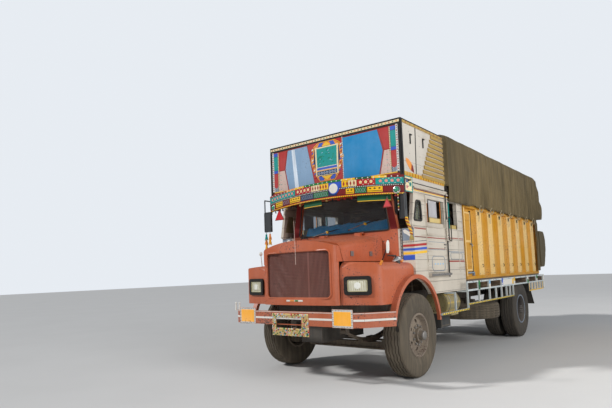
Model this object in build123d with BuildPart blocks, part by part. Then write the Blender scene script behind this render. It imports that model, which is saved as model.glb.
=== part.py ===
"""Two-axle decorated goods truck with a wooden cab, an over-cab crown, a ribbed load body and a tarpaulin.

Frame: millimetres, +Z up, ground at Z = 0, the truck faces -Y and its left side is +X.
The origin is the middle of its footprint. Places along the truck are given from the front axle.
"""

import math
import os

from build123d import *

# Overall lengths
WHEELBASE = 4225
FRONT_REACH = 1160
REAR_REACH = 6560
FRONT_AXLE_Y = (FRONT_REACH - REAR_REACH) / 2
REAR_AXLE_Y = FRONT_AXLE_Y + WHEELBASE

# Clearances
RUNNING_GAP = 0.5
PANEL_GAP = 6
PANEL_SEAT = 0.3
PIN_GAP = 0.4

# Tyres and wheels
TYRE_RADIUS = 517.5
TYRE_WIDTH = 275
RIM_RADIUS = 254
RIM_WIDTH = 200
FRONT_TYRE_X = 977
REAR_TYRE_X = 1047
TWIN_SPACING = 315

# Ladder frame
RAIL_OUTER_X = 430
RAIL_FLANGE = 70
RAIL_TOP = 1000
RAIL_DEPTH = 220
RAIL_SHEET = 9
RAIL_BOTTOM = RAIL_TOP - RAIL_DEPTH
FRAME_FRONT = -925
FRAME_REAR = 6000

# Steering
KINGPIN_X = 800
KINGPIN_RADIUS = 25
STEER_ARM = 220

# Cab
CAB_HALF = 1100
CAB_WALL = 45
CAB_FRONT = -20
CAB_REAR = 1660
CAB_BOTTOM = 1000
CAB_FLOOR = 1225
CAB_SHEET = 60
BELT_Z = 1860
CAB_TOP = 2400
ROOF_SHEET = 45
DOOR_FRONT = 360
DOOR_REAR = 1000
DOOR_BOTTOM = 1275
DOOR_TOP = 2330
WINDOW_BOTTOM = 1900
WINDOW_TOP = 2290

# Front sheet metal
NOSE_FRONT = -1060
NOSE_BOW = 45
NOSE_HALF = 585
NOSE_CORNER = 32
NOSE_BOTTOM = 945
NOSE_SHEET = 55
GRILLE_HALF = 505
GRILLE_BOTTOM = 1030
GRILLE_TOP = 1600
GRILLE_CORNER = 55
BONNET_FRONT_TOP = 1735
BONNET_REAR_TOP = 1835
FENDER_TOP = 1450
ARCH_RADIUS = 600
ARCH_CENTRE = (-60, 620)
FLARE_LIP = 50

# Bumper
BUMPER_HALF = 1220
BUMPER_BOTTOM = 715
BUMPER_TOP = 877

# Crown over the cab
CROWN_FRONT = -240
CROWN_REAR = 1030
CROWN_BOTTOM = CAB_TOP + 100
CROWN_TOP = CROWN_BOTTOM + 740
CROWN_SHEET = 45

# Load body
BODY_FRONT = 1710
BODY_REAR = 6000
BODY_HALF = 1100
BODY_FLOOR_TOP = 1150
BODY_WALL_TOP = 2330
RIB_DEPTH = 42
RIB_COUNT = 7
BODY_SHEET = 22

# Side rail and guards outside the wheels
SIDE_RAIL_REACH = 120
SIDE_RAIL_HALF = BODY_HALF + SIDE_RAIL_REACH
SIDE_RAIL_SHEET = 25
SIDE_RAIL_TOP = 1130

# Tarpaulin
TARP_HALF = 1152
TARP_FRONT = 1090
TARP_REAR = 6190
TARP_TOP = CROWN_TOP + 70
TARP_HEM = 2290
TARP_THICK = 16


def along(distance):
    """Y of a place that lies this far behind the front axle."""
    return FRONT_AXLE_Y + distance


def block(x, y, z, mode=Mode.ADD):
    """Add or cut a box given by its limits: X and Z in the truck's frame, Y from the front axle."""
    middle = ((x[0] + x[1]) / 2, along((y[0] + y[1]) / 2), (z[0] + z[1]) / 2)
    with Locations(middle):
        Box(x[1] - x[0], y[1] - y[0], z[1] - z[0], mode=mode)


def side_plate(x, outline, mode=Mode.ADD):
    """Add or cut a plate seen from the side: (distance behind the axle, Z) points, X from low to high."""
    with BuildSketch(Plane.YZ.offset(x[0])) as profile:
        with BuildLine():
            Polyline(*[(along(p[0]), p[1]) for p in outline], close=True)
        make_face()
    extrude(profile.sketch, amount=x[1] - x[0], mode=mode)


def front_plate(y, outline, mode=Mode.ADD, corner=0):
    """Add or cut a plate seen from the front: (X, Z) points, thickness from y[0] back to y[1]."""
    with BuildSketch(Plane.XZ.offset(-along(y[1]))) as profile:
        with BuildLine():
            Polyline(*outline, close=True)
        make_face()
        if corner:
            fillet(profile.vertices(), radius=corner)
    extrude(profile.sketch, amount=y[1] - y[0], mode=mode)


def rod(start, end, radius, mode=Mode.ADD):
    """Add or cut a round bar between two places, Y of each given from the front axle."""
    low = Vector(start[0], along(start[1]), start[2])
    high = Vector(end[0], along(end[1]), end[2])
    path = high - low
    with BuildSketch(Plane(origin=low, z_dir=path)) as profile:
        Circle(radius)
    extrude(profile.sketch, amount=path.length, mode=mode)


def tube_along_x(x, y, z, radius, mode=Mode.ADD):
    """Add or cut a cylinder lying across the truck, from x[0] to x[1]."""
    rod((x[0], y, z), (x[1], y, z), radius, mode)


def mirrored(piece):
    """The same piece on the other side of the truck."""
    with BuildPart() as other:
        mirror(piece.part, about=Plane.YZ)
    return other


# Ladder frame with its cross members, spring hangers and bumper irons
CROSS_MEMBERS = (-880, 1000, 1700, 2450, 3350, 5100, 5950)
FRONT_SPRING = {"centre": 0, "half": 620, "eye_z": 600}
REAR_SPRING = {"centre": WHEELBASE, "half": 680, "eye_z": 690}
SPRING_X = (360, 430)
SPRING_EYE = 28
CHEEK = 12
BUMPER_BACK = -1143
TOW_LUG = {"half": 60, "reach": 52, "hole": 20, "z": (865, 905)}

with BuildPart() as chassis_frame:
    for side in (-1, 1):
        web = sorted((side * RAIL_OUTER_X, side * (RAIL_OUTER_X - RAIL_SHEET)))
        flange = sorted((side * RAIL_OUTER_X, side * (RAIL_OUTER_X - RAIL_FLANGE)))
        block(web, (FRAME_FRONT, FRAME_REAR), (RAIL_BOTTOM, RAIL_TOP))
        block(flange, (FRAME_FRONT, FRAME_REAR), (RAIL_TOP - RAIL_SHEET, RAIL_TOP))
        block(flange, (FRAME_FRONT, FRAME_REAR), (RAIL_BOTTOM, RAIL_BOTTOM + RAIL_SHEET))
        iron = sorted((side * SPRING_X[1], side * SPRING_X[0]))
        block(iron, (BUMPER_BACK + PANEL_SEAT, FRAME_FRONT + 40), (RAIL_BOTTOM - 30, RAIL_BOTTOM + 60))
        for spring in (FRONT_SPRING, REAR_SPRING):
            for end in (-1, 1):
                eye_y = spring["centre"] + end * spring["half"]
                for cheek_x in (SPRING_X[0] - CHEEK, SPRING_X[1]):
                    cheek = sorted((side * cheek_x, side * (cheek_x + CHEEK)))
                    block(cheek, (eye_y - 35, eye_y + 35), (spring["eye_z"] - 35, RAIL_BOTTOM + 40))
                bridge = sorted((side * (SPRING_X[0] - CHEEK), side * (SPRING_X[1] + CHEEK)))
                block(bridge, (eye_y - 35, eye_y + 35), (spring["eye_z"] + SPRING_EYE + 12, RAIL_BOTTOM))
    inner = RAIL_OUTER_X - RAIL_SHEET
    for y in CROSS_MEMBERS:
        block((-inner, inner), (y - 35, y + 35), (RAIL_BOTTOM + 40, RAIL_TOP - 40))
    block((-TOW_LUG["half"], TOW_LUG["half"]), (FRAME_REAR - 20, FRAME_REAR + 90), TOW_LUG["z"])
    hole = (0, FRAME_REAR + TOW_LUG["reach"])
    rod((*hole, TOW_LUG["z"][0] - 1), (*hole, TOW_LUG["z"][1] + 1), TOW_LUG["hole"], mode=Mode.SUBTRACT)


# Leaf springs: a stepped pack under an arched main leaf with an eye at each end
LEAF_STEPS = ((1.0, 0), (0.80, 14), (0.62, 26), (0.44, 38), (0.26, 50))
LEAF_THICK = 12


def leaf_line(middle, reach, rise, z):
    """Upper or under line of a leaf: its ends lie higher than its middle."""
    return ((middle - reach, z + rise), (middle, z), (middle + reach, z + rise))


with BuildPart() as leaf_springs:
    for spring, seat_z in ((FRONT_SPRING, 402), (REAR_SPRING, 600)):
        half = spring["half"]
        middle = along(spring["centre"])
        drop = spring["eye_z"] - (seat_z + 62)
        for side in (-1, 1):
            x_low = min(side * SPRING_X[0], side * SPRING_X[1])
            for share, lower in LEAF_STEPS:
                tip = half * share
                rise = drop * share**2
                top = seat_z + 62 - lower
                with BuildSketch(Plane.YZ.offset(x_low)):
                    with BuildLine():
                        upper = ThreePointArc(*leaf_line(middle, tip, rise, top))
                        under = ThreePointArc(*leaf_line(middle, tip, rise, top - LEAF_THICK))
                        Line(upper @ 0, under @ 0)
                        Line(upper @ 1, under @ 1)
                    make_face()
                extrude(amount=SPRING_X[1] - SPRING_X[0])
            for end in (-1, 1):
                eye = (spring["centre"] + end * half, spring["eye_z"])
                tube_along_x((x_low, x_low + SPRING_X[1] - SPRING_X[0]), eye[0], eye[1], SPRING_EYE)
            clamp = (x_low - 6, x_low + SPRING_X[1] - SPRING_X[0] + 6)
            block(clamp, (spring["centre"] - 70, spring["centre"] + 70), (seat_z, seat_z + 74))


# Front axle beam: dropped in the middle, a boss at each end for the kingpin
BEAM_BOSS_Z = (462, 573)
BEAM_HALF_Y = 42

with BuildPart() as front_axle_beam:
    front_plate(
        (-BEAM_HALF_Y, BEAM_HALF_Y),
        (
            (-KINGPIN_X, BEAM_BOSS_Z[0]),
            (-700, BEAM_BOSS_Z[0]),
            (-600, 306),
            (600, 306),
            (700, BEAM_BOSS_Z[0]),
            (KINGPIN_X, BEAM_BOSS_Z[0]),
            (KINGPIN_X, BEAM_BOSS_Z[1]),
            (690, BEAM_BOSS_Z[1]),
            (560, 402),
            (-560, 402),
            (-690, BEAM_BOSS_Z[1]),
            (-KINGPIN_X, BEAM_BOSS_Z[1]),
        ),
    )
    for side in (-1, 1):
        rod((side * KINGPIN_X, 0, BEAM_BOSS_Z[0]), (side * KINGPIN_X, 0, BEAM_BOSS_Z[1]), 46)
    for face in (-1, 1):
        waist = sorted((face * BEAM_HALF_Y, face * (BEAM_HALF_Y - 26)))
        block((-560, 560), waist, (326, 382), mode=Mode.SUBTRACT)
    for side in (-1, 1):
        rod(
            (side * KINGPIN_X, 0, BEAM_BOSS_Z[0] - 1),
            (side * KINGPIN_X, 0, BEAM_BOSS_Z[1] + 1),
            KINGPIN_RADIUS + PIN_GAP,
            mode=Mode.SUBTRACT,
        )


# Steering knuckle: fork, kingpin, brake backplate and a straight steering arm to the rear
FORK_GAP = 1
BACKPLATE_X = (872, 884)
ARM_Z = (BEAM_BOSS_Z[0] - FORK_GAP - 42, BEAM_BOSS_Z[0] - FORK_GAP)
ARM_PIN_RADIUS = 12
TIE_ROD_Z = ARM_Z[0] - 24

with BuildPart() as knuckle_left:
    rod((KINGPIN_X, 0, ARM_Z[0]), (KINGPIN_X, 0, BEAM_BOSS_Z[1] + 45), KINGPIN_RADIUS)
    rod((KINGPIN_X, 0, BEAM_BOSS_Z[1] + FORK_GAP), (KINGPIN_X, 0, BEAM_BOSS_Z[1] + 40), 44)
    rod((KINGPIN_X, 0, ARM_Z[0]), (KINGPIN_X, 0, ARM_Z[1]), 44)
    block((KINGPIN_X, BACKPLATE_X[0]), (-40, 40), (BEAM_BOSS_Z[1] + FORK_GAP, BEAM_BOSS_Z[1] + 40))
    block((KINGPIN_X, BACKPLATE_X[0]), (-40, 40), ARM_Z)
    block((BACKPLATE_X[0] - 20, BACKPLATE_X[0]), (-40, 40), (ARM_Z[0], BEAM_BOSS_Z[1] + 40))
    tube_along_x(BACKPLATE_X, 0, TYRE_RADIUS, 200)
    block((KINGPIN_X - 18, KINGPIN_X + 18), (0, STEER_ARM), ARM_Z)
    rod((KINGPIN_X, STEER_ARM, ARM_Z[0]), (KINGPIN_X, STEER_ARM, ARM_Z[1]), 22)
    rod((KINGPIN_X, STEER_ARM, TIE_ROD_Z - 22), (KINGPIN_X, STEER_ARM, ARM_Z[0]), ARM_PIN_RADIUS)
knuckle_right = mirrored(knuckle_left)


# Tie rod between the two steering arms, an eye round each arm's pin
with BuildPart() as tie_rod:
    tube_along_x((-KINGPIN_X + 20, KINGPIN_X - 20), STEER_ARM, TIE_ROD_Z, 16)
    for side in (-1, 1):
        eye = side * KINGPIN_X
        rod((eye, STEER_ARM, TIE_ROD_Z - 20), (eye, STEER_ARM, TIE_ROD_Z + 20), 26)
        rod(
            (eye, STEER_ARM, TIE_ROD_Z - 21),
            (eye, STEER_ARM, TIE_ROD_Z + 21),
            ARM_PIN_RADIUS + PIN_GAP,
            mode=Mode.SUBTRACT,
        )


# Disc wheels. A wheel's profile is (X from the wheel's middle plane, radius), outboard positive
def wheel_plane(x, y, z=TYRE_RADIUS):
    """A drawing plane whose first axis is the wheel's axle, pointing outboard on the left side."""
    return Plane(origin=(x, along(y), z), x_dir=(1, 0, 0), z_dir=(0, -1, 0))


def turned(plane, outline):
    """Turn a closed outline about the first axis of its plane."""
    with BuildSketch(plane) as profile:
        with BuildLine():
            Polyline(*outline, close=True)
        make_face()
    revolve(profile.sketch, axis=Axis(plane.origin, plane.x_dir))


def rim_outline(disc_x, hub_radius):
    """Rim, flanges and dished disc as one closed outline; disc_x is where the disc meets the hub."""
    half = RIM_WIDTH / 2
    return (
        (-half - 14, RIM_RADIUS + 18),
        (-half - 14, RIM_RADIUS - 8),
        (-half + 30, RIM_RADIUS - 26),
        (disc_x - 46, RIM_RADIUS - 34),
        (disc_x - 12, hub_radius + 40),
        (disc_x - 12, hub_radius),
        (disc_x, hub_radius),
        (disc_x, hub_radius + 46),
        (disc_x - 30, RIM_RADIUS - 34),
        (half - 30, RIM_RADIUS - 26),
        (half + 14, RIM_RADIUS - 8),
        (half + 14, RIM_RADIUS + 18),
        (half, RIM_RADIUS),
        (-half, RIM_RADIUS),
    )


def hand_holes(x, y, radius, size, count=6):
    """Round holes through a wheel's disc."""
    for step in range(count):
        angle = math.radians(step * 360 / count + 30)
        place = (y + radius * math.cos(angle), TYRE_RADIUS + radius * math.sin(angle))
        tube_along_x(x, place[0], place[1], size, mode=Mode.SUBTRACT)


FRONT_DISC = 86
FRONT_DRUM_X = (BACKPLATE_X[1] + RUNNING_GAP, 985)

with BuildPart() as wheel_front_left:
    turned(wheel_plane(FRONT_TYRE_X, 0), rim_outline(FRONT_DISC, 90))
    hand_holes((FRONT_TYRE_X - 20, FRONT_TYRE_X + 120), 0, 172, 24)
    tube_along_x(FRONT_DRUM_X, 0, TYRE_RADIUS, 196)
    tube_along_x((FRONT_DRUM_X[1], FRONT_TYRE_X + FRONT_DISC), 0, TYRE_RADIUS, 120)
    tube_along_x((FRONT_TYRE_X + FRONT_DISC, FRONT_TYRE_X + FRONT_DISC + 40), 0, TYRE_RADIUS, 84)
    tube_along_x((FRONT_TYRE_X + FRONT_DISC + 40, FRONT_TYRE_X + FRONT_DISC + 92), 0, TYRE_RADIUS, 56)
wheel_front_right = mirrored(wheel_front_left)

TYRE_OUTLINE = (
    # share of the width, share of the height above the rim
    (-0.50, 0.42),
    (-0.47, 0.72),
    (-0.37, 0.97),
    (-0.20, 1.0),
    (0.20, 1.0),
    (0.37, 0.97),
    (0.47, 0.72),
    (0.50, 0.42),
)


def tyre_outline():
    """Cross-section of a tyre from bead to bead, closed by the rim's seat."""
    height = TYRE_RADIUS - RIM_RADIUS
    bead = (RIM_WIDTH / 2 - PANEL_SEAT, RIM_RADIUS + PANEL_SEAT)
    walls = [(TYRE_WIDTH * x, RIM_RADIUS + height * r) for x, r in TYRE_OUTLINE]
    return ((-bead[0], bead[1]), *walls, bead)


with BuildPart() as tyre_front_left:
    turned(wheel_plane(FRONT_TYRE_X, 0), tyre_outline())
tyre_front_right = mirrored(tyre_front_left)


# Rear axle: housing with its differential, and the shaft that runs forward from it to the gearbox
REAR_HUB_X = 560
DIFF_RADIUS = 205
PINION_REACH = 330
GEARBOX_REAR = 900

with BuildPart() as rear_axle:
    tube_along_x((-REAR_HUB_X, REAR_HUB_X), WHEELBASE, TYRE_RADIUS, 72)
    tube_along_x((-95, 95), WHEELBASE, TYRE_RADIUS, DIFF_RADIUS)
    chamfer(rear_axle.edges().filter_by(GeomType.CIRCLE).filter_by(lambda e: e.radius > 200), length=40)
    rod((0, WHEELBASE, TYRE_RADIUS), (0, WHEELBASE - PINION_REACH, TYRE_RADIUS + 20), 88)
    for side in (-1, 1):
        pad = sorted((side * (SPRING_X[0] - 6), side * (SPRING_X[1] + 6)))
        block(pad, (WHEELBASE - 70, WHEELBASE + 70), (TYRE_RADIUS + 40, 600))
        tube_along_x(sorted((side * (REAR_HUB_X - 30), side * REAR_HUB_X)), WHEELBASE, TYRE_RADIUS, 190)
    rod((0, GEARBOX_REAR + 8, 700), (0, WHEELBASE - PINION_REACH + 5, TYRE_RADIUS + 20), 48)


# Rear twin wheels: two rims back to back on one hub and drum
REAR_INNER_X = REAR_TYRE_X - TWIN_SPACING
TWIN_MIDDLE = REAR_TYRE_X - TWIN_SPACING / 2

with BuildPart() as wheel_rear_left:
    turned(wheel_plane(REAR_INNER_X, WHEELBASE), rim_outline(TWIN_SPACING / 2, 90))
    outer = tuple((-x, r) for x, r in rim_outline(TWIN_SPACING / 2, 90))
    turned(wheel_plane(REAR_TYRE_X, WHEELBASE), outer)
    hand_holes((TWIN_MIDDLE - 60, TWIN_MIDDLE + 60), WHEELBASE, 172, 24)
    tube_along_x((REAR_HUB_X + RUNNING_GAP, 790), WHEELBASE, TYRE_RADIUS, 196)
    tube_along_x((790, TWIN_MIDDLE + 24), WHEELBASE, TYRE_RADIUS, 120)
    tube_along_x((TWIN_MIDDLE + 24, 1020), WHEELBASE, TYRE_RADIUS, 86)
    tube_along_x((1020, 1060), WHEELBASE, TYRE_RADIUS, 62)
wheel_rear_right = mirrored(wheel_rear_left)

with BuildPart() as tyres_rear_left:
    for x in (REAR_INNER_X, REAR_TYRE_X):
        turned(wheel_plane(x, WHEELBASE), tyre_outline())
tyres_rear_right = mirrored(tyres_rear_left)


# Spare wheel lying flat under the frame on its hanger
SPARE_X = 650
SPARE_Y = 2850
SPARE_Z = 595

with BuildPart() as spare_wheel:
    spare_plane = Plane(origin=(SPARE_X, along(SPARE_Y), SPARE_Z), x_dir=(0, 0, -1), z_dir=(0, -1, 0))
    turned(spare_plane, tyre_outline())
    turned(spare_plane, rim_outline(FRONT_DISC, 60))
    rod((SPARE_X, SPARE_Y, SPARE_Z - FRONT_DISC - 8), (SPARE_X, SPARE_Y, RAIL_BOTTOM), 62)
    block((0, SPARE_X + 120), (SPARE_Y - 40, SPARE_Y + 40), (RAIL_BOTTOM - 40, RAIL_BOTTOM))


# Engine with its sump and gearbox as one plain block, and the radiator ahead of it
with BuildPart() as engine_block:
    block((-270, 270), (-800, 240), (RAIL_BOTTOM - 60, 1480))
    block((-175, 150), (-760, 200), (460, RAIL_BOTTOM - 60))
    block((-200, 200), (240, GEARBOX_REAR), (560, 960))
    block((-350, 350), (-900, -850), (RAIL_TOP - 40, 1560))
    block((-60, 60), (-850, -800), (1000, 1100))
    inner = RAIL_OUTER_X - RAIL_SHEET
    for y in (-500, 150, 700):
        block((-inner, inner), (y - 30, y + 30), (RAIL_BOTTOM + 60, RAIL_BOTTOM + 120))


# Bumper: one channel with swept ends, and two blank panels standing on its face
BUMPER_PATH = (
    (-BUMPER_HALF + 8, -800),
    (-BUMPER_HALF + 235, -1090),
    (-BUMPER_HALF + 340, -1150),
    (BUMPER_HALF - 340, -1150),
    (BUMPER_HALF - 235, -1090),
    (BUMPER_HALF - 8, -800),
)


def bumper_path(inset):
    """Middle line of the bumper's sheet, moved inwards."""
    return [(x - math.copysign(inset, x), along(y + inset)) for x, y in BUMPER_PATH]


with BuildPart() as front_bumper:
    for inset, width, z_low, z_high in (
        (0, 14, BUMPER_BOTTOM, BUMPER_TOP),
        (16, 46, BUMPER_BOTTOM, BUMPER_BOTTOM + 8),
        (16, 46, BUMPER_TOP - 8, BUMPER_TOP),
    ):
        with BuildSketch(Plane.XY.offset(z_low)):
            with BuildLine():
                Polyline(*bumper_path(inset))
            trace(line_width=width)
        extrude(amount=z_high - z_low)
    for side in (-1, 1):
        panel = sorted((side * 600, side * (BUMPER_HALF - 340)))
        block(panel, (-1160, -1156), (BUMPER_BOTTOM - 5, BUMPER_TOP + 38))
    block((-310, 260), (-1160, -1150), (590, 862))
    block((-256, 149), (-1162, -1140), (677, 805), mode=Mode.SUBTRACT)


# Nose panel round the grille: bowed in plan, crowned along its top
def bowed(y_front, y_side, half):
    """Front edge of a panel that is bowed forward in plan: its two ends and its middle."""
    return ((-half, along(y_side)), (0, along(y_front)), (half, along(y_side)))


def grille_outline(gap):
    """Grille opening, seen from the front, shrunk by a gap."""
    return (
        (-GRILLE_HALF + gap, GRILLE_BOTTOM + gap),
        (GRILLE_HALF - gap, GRILLE_BOTTOM + gap),
        (GRILLE_HALF - gap, GRILLE_TOP - gap),
        (-GRILLE_HALF + gap, GRILLE_TOP - gap),
    )


BONNET_HINGE = (CAB_FRONT - 12, BONNET_REAR_TOP + 11)
CHEEK_REAR = NOSE_FRONT + 260
CHEEK_SHEET = 22
BONNET_SWING = BONNET_HINGE[0] - (NOSE_FRONT + NOSE_BOW + NOSE_SHEET) - 5

with BuildPart() as nose_panel:
    with BuildSketch(Plane.XY.offset(NOSE_BOTTOM)) as plan:
        with BuildLine():
            nose_side = NOSE_FRONT + NOSE_BOW
            front = ThreePointArc(*bowed(NOSE_FRONT, nose_side, NOSE_HALF))
            back = ThreePointArc(*bowed(NOSE_FRONT + NOSE_SHEET, nose_side + NOSE_SHEET, NOSE_HALF))
            Line(front @ 0, back @ 0)
            Line(front @ 1, back @ 1)
        make_face()
        chamfer(plan.vertices().group_by(Axis.Y)[0], length=NOSE_CORNER)
    extrude(amount=BONNET_FRONT_TOP - NOSE_BOTTOM)
    with BuildSketch(Plane.XZ.offset(-along(NOSE_FRONT + 200))):
        with BuildLine():
            crown = ThreePointArc(
                (-NOSE_HALF, BONNET_FRONT_TOP - 95), (0, BONNET_FRONT_TOP), (NOSE_HALF, BONNET_FRONT_TOP - 95)
            )
            Line(crown @ 0, (-NOSE_HALF, NOSE_BOTTOM))
            Line((-NOSE_HALF, NOSE_BOTTOM), (NOSE_HALF, NOSE_BOTTOM))
            Line((NOSE_HALF, NOSE_BOTTOM), crown @ 1)
        make_face()
    extrude(amount=400, mode=Mode.INTERSECT)
    opening = grille_outline(0)
    front_plate((NOSE_FRONT - 50, NOSE_FRONT + 200), opening, mode=Mode.SUBTRACT, corner=GRILLE_CORNER)
    for side in (-1, 1):
        leg = sorted((side * RAIL_OUTER_X, side * (RAIL_OUTER_X - RAIL_FLANGE)))
        block(leg, (NOSE_FRONT + NOSE_SHEET + 20, FRAME_FRONT - PANEL_SEAT), (NOSE_BOTTOM + 5, RAIL_TOP))
        cheek = sorted((side * NOSE_HALF, side * (NOSE_HALF - CHEEK_SHEET)))
        cheek_z = (FENDER_TOP + PANEL_GAP, BONNET_FRONT_TOP - 97)
        block(cheek, (NOSE_FRONT + NOSE_BOW + 20, CHEEK_REAR), cheek_z)
    with Locations((0, along(BONNET_HINGE[0]), BONNET_HINGE[1])):
        Cylinder(BONNET_SWING + PANEL_GAP, 2 * NOSE_HALF + 40, rotation=(0, 90, 0), mode=Mode.SUBTRACT)

with BuildPart() as grille:
    with BuildSketch(Plane.XY.offset(GRILLE_BOTTOM)):
        with BuildLine():
            front = ThreePointArc(*bowed(NOSE_FRONT + 22, NOSE_FRONT + NOSE_BOW + 10, GRILLE_HALF))
            back = ThreePointArc(*bowed(NOSE_FRONT + 34, NOSE_FRONT + NOSE_BOW + 22, GRILLE_HALF))
            Line(front @ 0, back @ 0)
            Line(front @ 1, back @ 1)
        make_face()
    extrude(amount=GRILLE_TOP - GRILLE_BOTTOM)
    opening = grille_outline(PANEL_SEAT)
    front_plate((NOSE_FRONT - 50, NOSE_FRONT + 200), opening, mode=Mode.INTERSECT, corner=GRILLE_CORNER)


# Bonnet: two crowned sections joined, open below and at both ends
BONNET_SHEET = 22
BONNET_HALF_FRONT = NOSE_HALF
BONNET_HALF_REAR = 640
BONNET_FRONT_Y = NOSE_FRONT + NOSE_BOW + NOSE_SHEET + PANEL_GAP
BONNET_REAR_Y = CAB_FRONT - PANEL_GAP
HINGE_X = (-300, 300)


def bonnet_section(y, half, top, inset):
    """One crowned section of the bonnet; inset moves it inwards by the sheet's thickness."""
    side_top = top - 95 - inset
    with BuildSketch(Plane.XZ.offset(-along(y))) as section:
        with BuildLine():
            crown = ThreePointArc(
                (-half + 60 + inset, side_top + 40), (0, top - inset), (half - 60 - inset, side_top + 40)
            )
            right = ThreePointArc(
                crown @ 1, (half - 16 - inset, side_top + 14), (half - inset, side_top - 50)
            )
            left = ThreePointArc(
                crown @ 0, (-half + 16 + inset, side_top + 14), (-half + inset, side_top - 50)
            )
            Line(right @ 1, (half - inset, FENDER_TOP + 4))
            Line((half - inset, FENDER_TOP + 4), (-half + inset, FENDER_TOP + 4))
            Line((-half + inset, FENDER_TOP + 4), left @ 1)
        make_face()
    return section.sketch


with BuildPart() as bonnet:
    for inset, mode in ((0, Mode.ADD), (BONNET_SHEET, Mode.SUBTRACT)):
        front_section = bonnet_section(BONNET_FRONT_Y, BONNET_HALF_FRONT, BONNET_FRONT_TOP, inset)
        rear_section = bonnet_section(BONNET_REAR_Y, BONNET_HALF_REAR, BONNET_REAR_TOP, inset)
        loft(sections=(front_section, rear_section), mode=mode)
    with Locations((0, along(BONNET_HINGE[0]), BONNET_HINGE[1])):
        Cylinder(BONNET_SWING, 2 * BONNET_HALF_REAR + 40, rotation=(0, 90, 0), mode=Mode.INTERSECT)
    below = (FENDER_TOP - 200, FENDER_TOP + PANEL_GAP)
    block((-BONNET_HALF_REAR - 10, BONNET_HALF_REAR + 10), (-1200, 100), below, mode=Mode.SUBTRACT)
    for x in HINGE_X:
        tube_along_x((x - 45, x + 45), *BONNET_HINGE, 8)
        leaf_y = (BONNET_HINGE[0] - 60, BONNET_HINGE[0] - 4)
        block((x - 45, x + 45), leaf_y, (BONNET_REAR_TOP - 50, BONNET_HINGE[1] + 3))


# Fender: swept round from the lamp panel to the wheel arch, hollow over the wheel
FENDER_INNER = NOSE_HALF + PANEL_GAP
FENDER_OUTER = 1070
FENDER_FRONT = -955
FENDER_SHEET = 25
FENDER_SWEEP = 12.5
FENDER_CORNER_X = 985
FENDER_CORNER_BULGE = (23, -828)
FENDER_CORNER_REAR = -760
LAMP_X = 802
LAMP_HALF = 164
LAMP_Z = (1062, 1276)
LAMP_RIM = 30
FLARE_OUTER = 1140
FLARE_FRONT_FOOT = 740
FLARE_REAR_FOOT = 655


def fender_face(x):
    """Distance of the left fender's swept front from the axle, at this distance from the truck's middle."""
    return FENDER_FRONT + (x - FENDER_INNER) * math.tan(math.radians(FENDER_SWEEP))


def lamp_place(side):
    """Middle of the headlamp on the fender's face, its first axis along the face."""
    place = (side * LAMP_X, along(fender_face(LAMP_X)), (LAMP_Z[0] + LAMP_Z[1]) / 2)
    return Location(place, (0, 0, side * FENDER_SWEEP))


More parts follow.
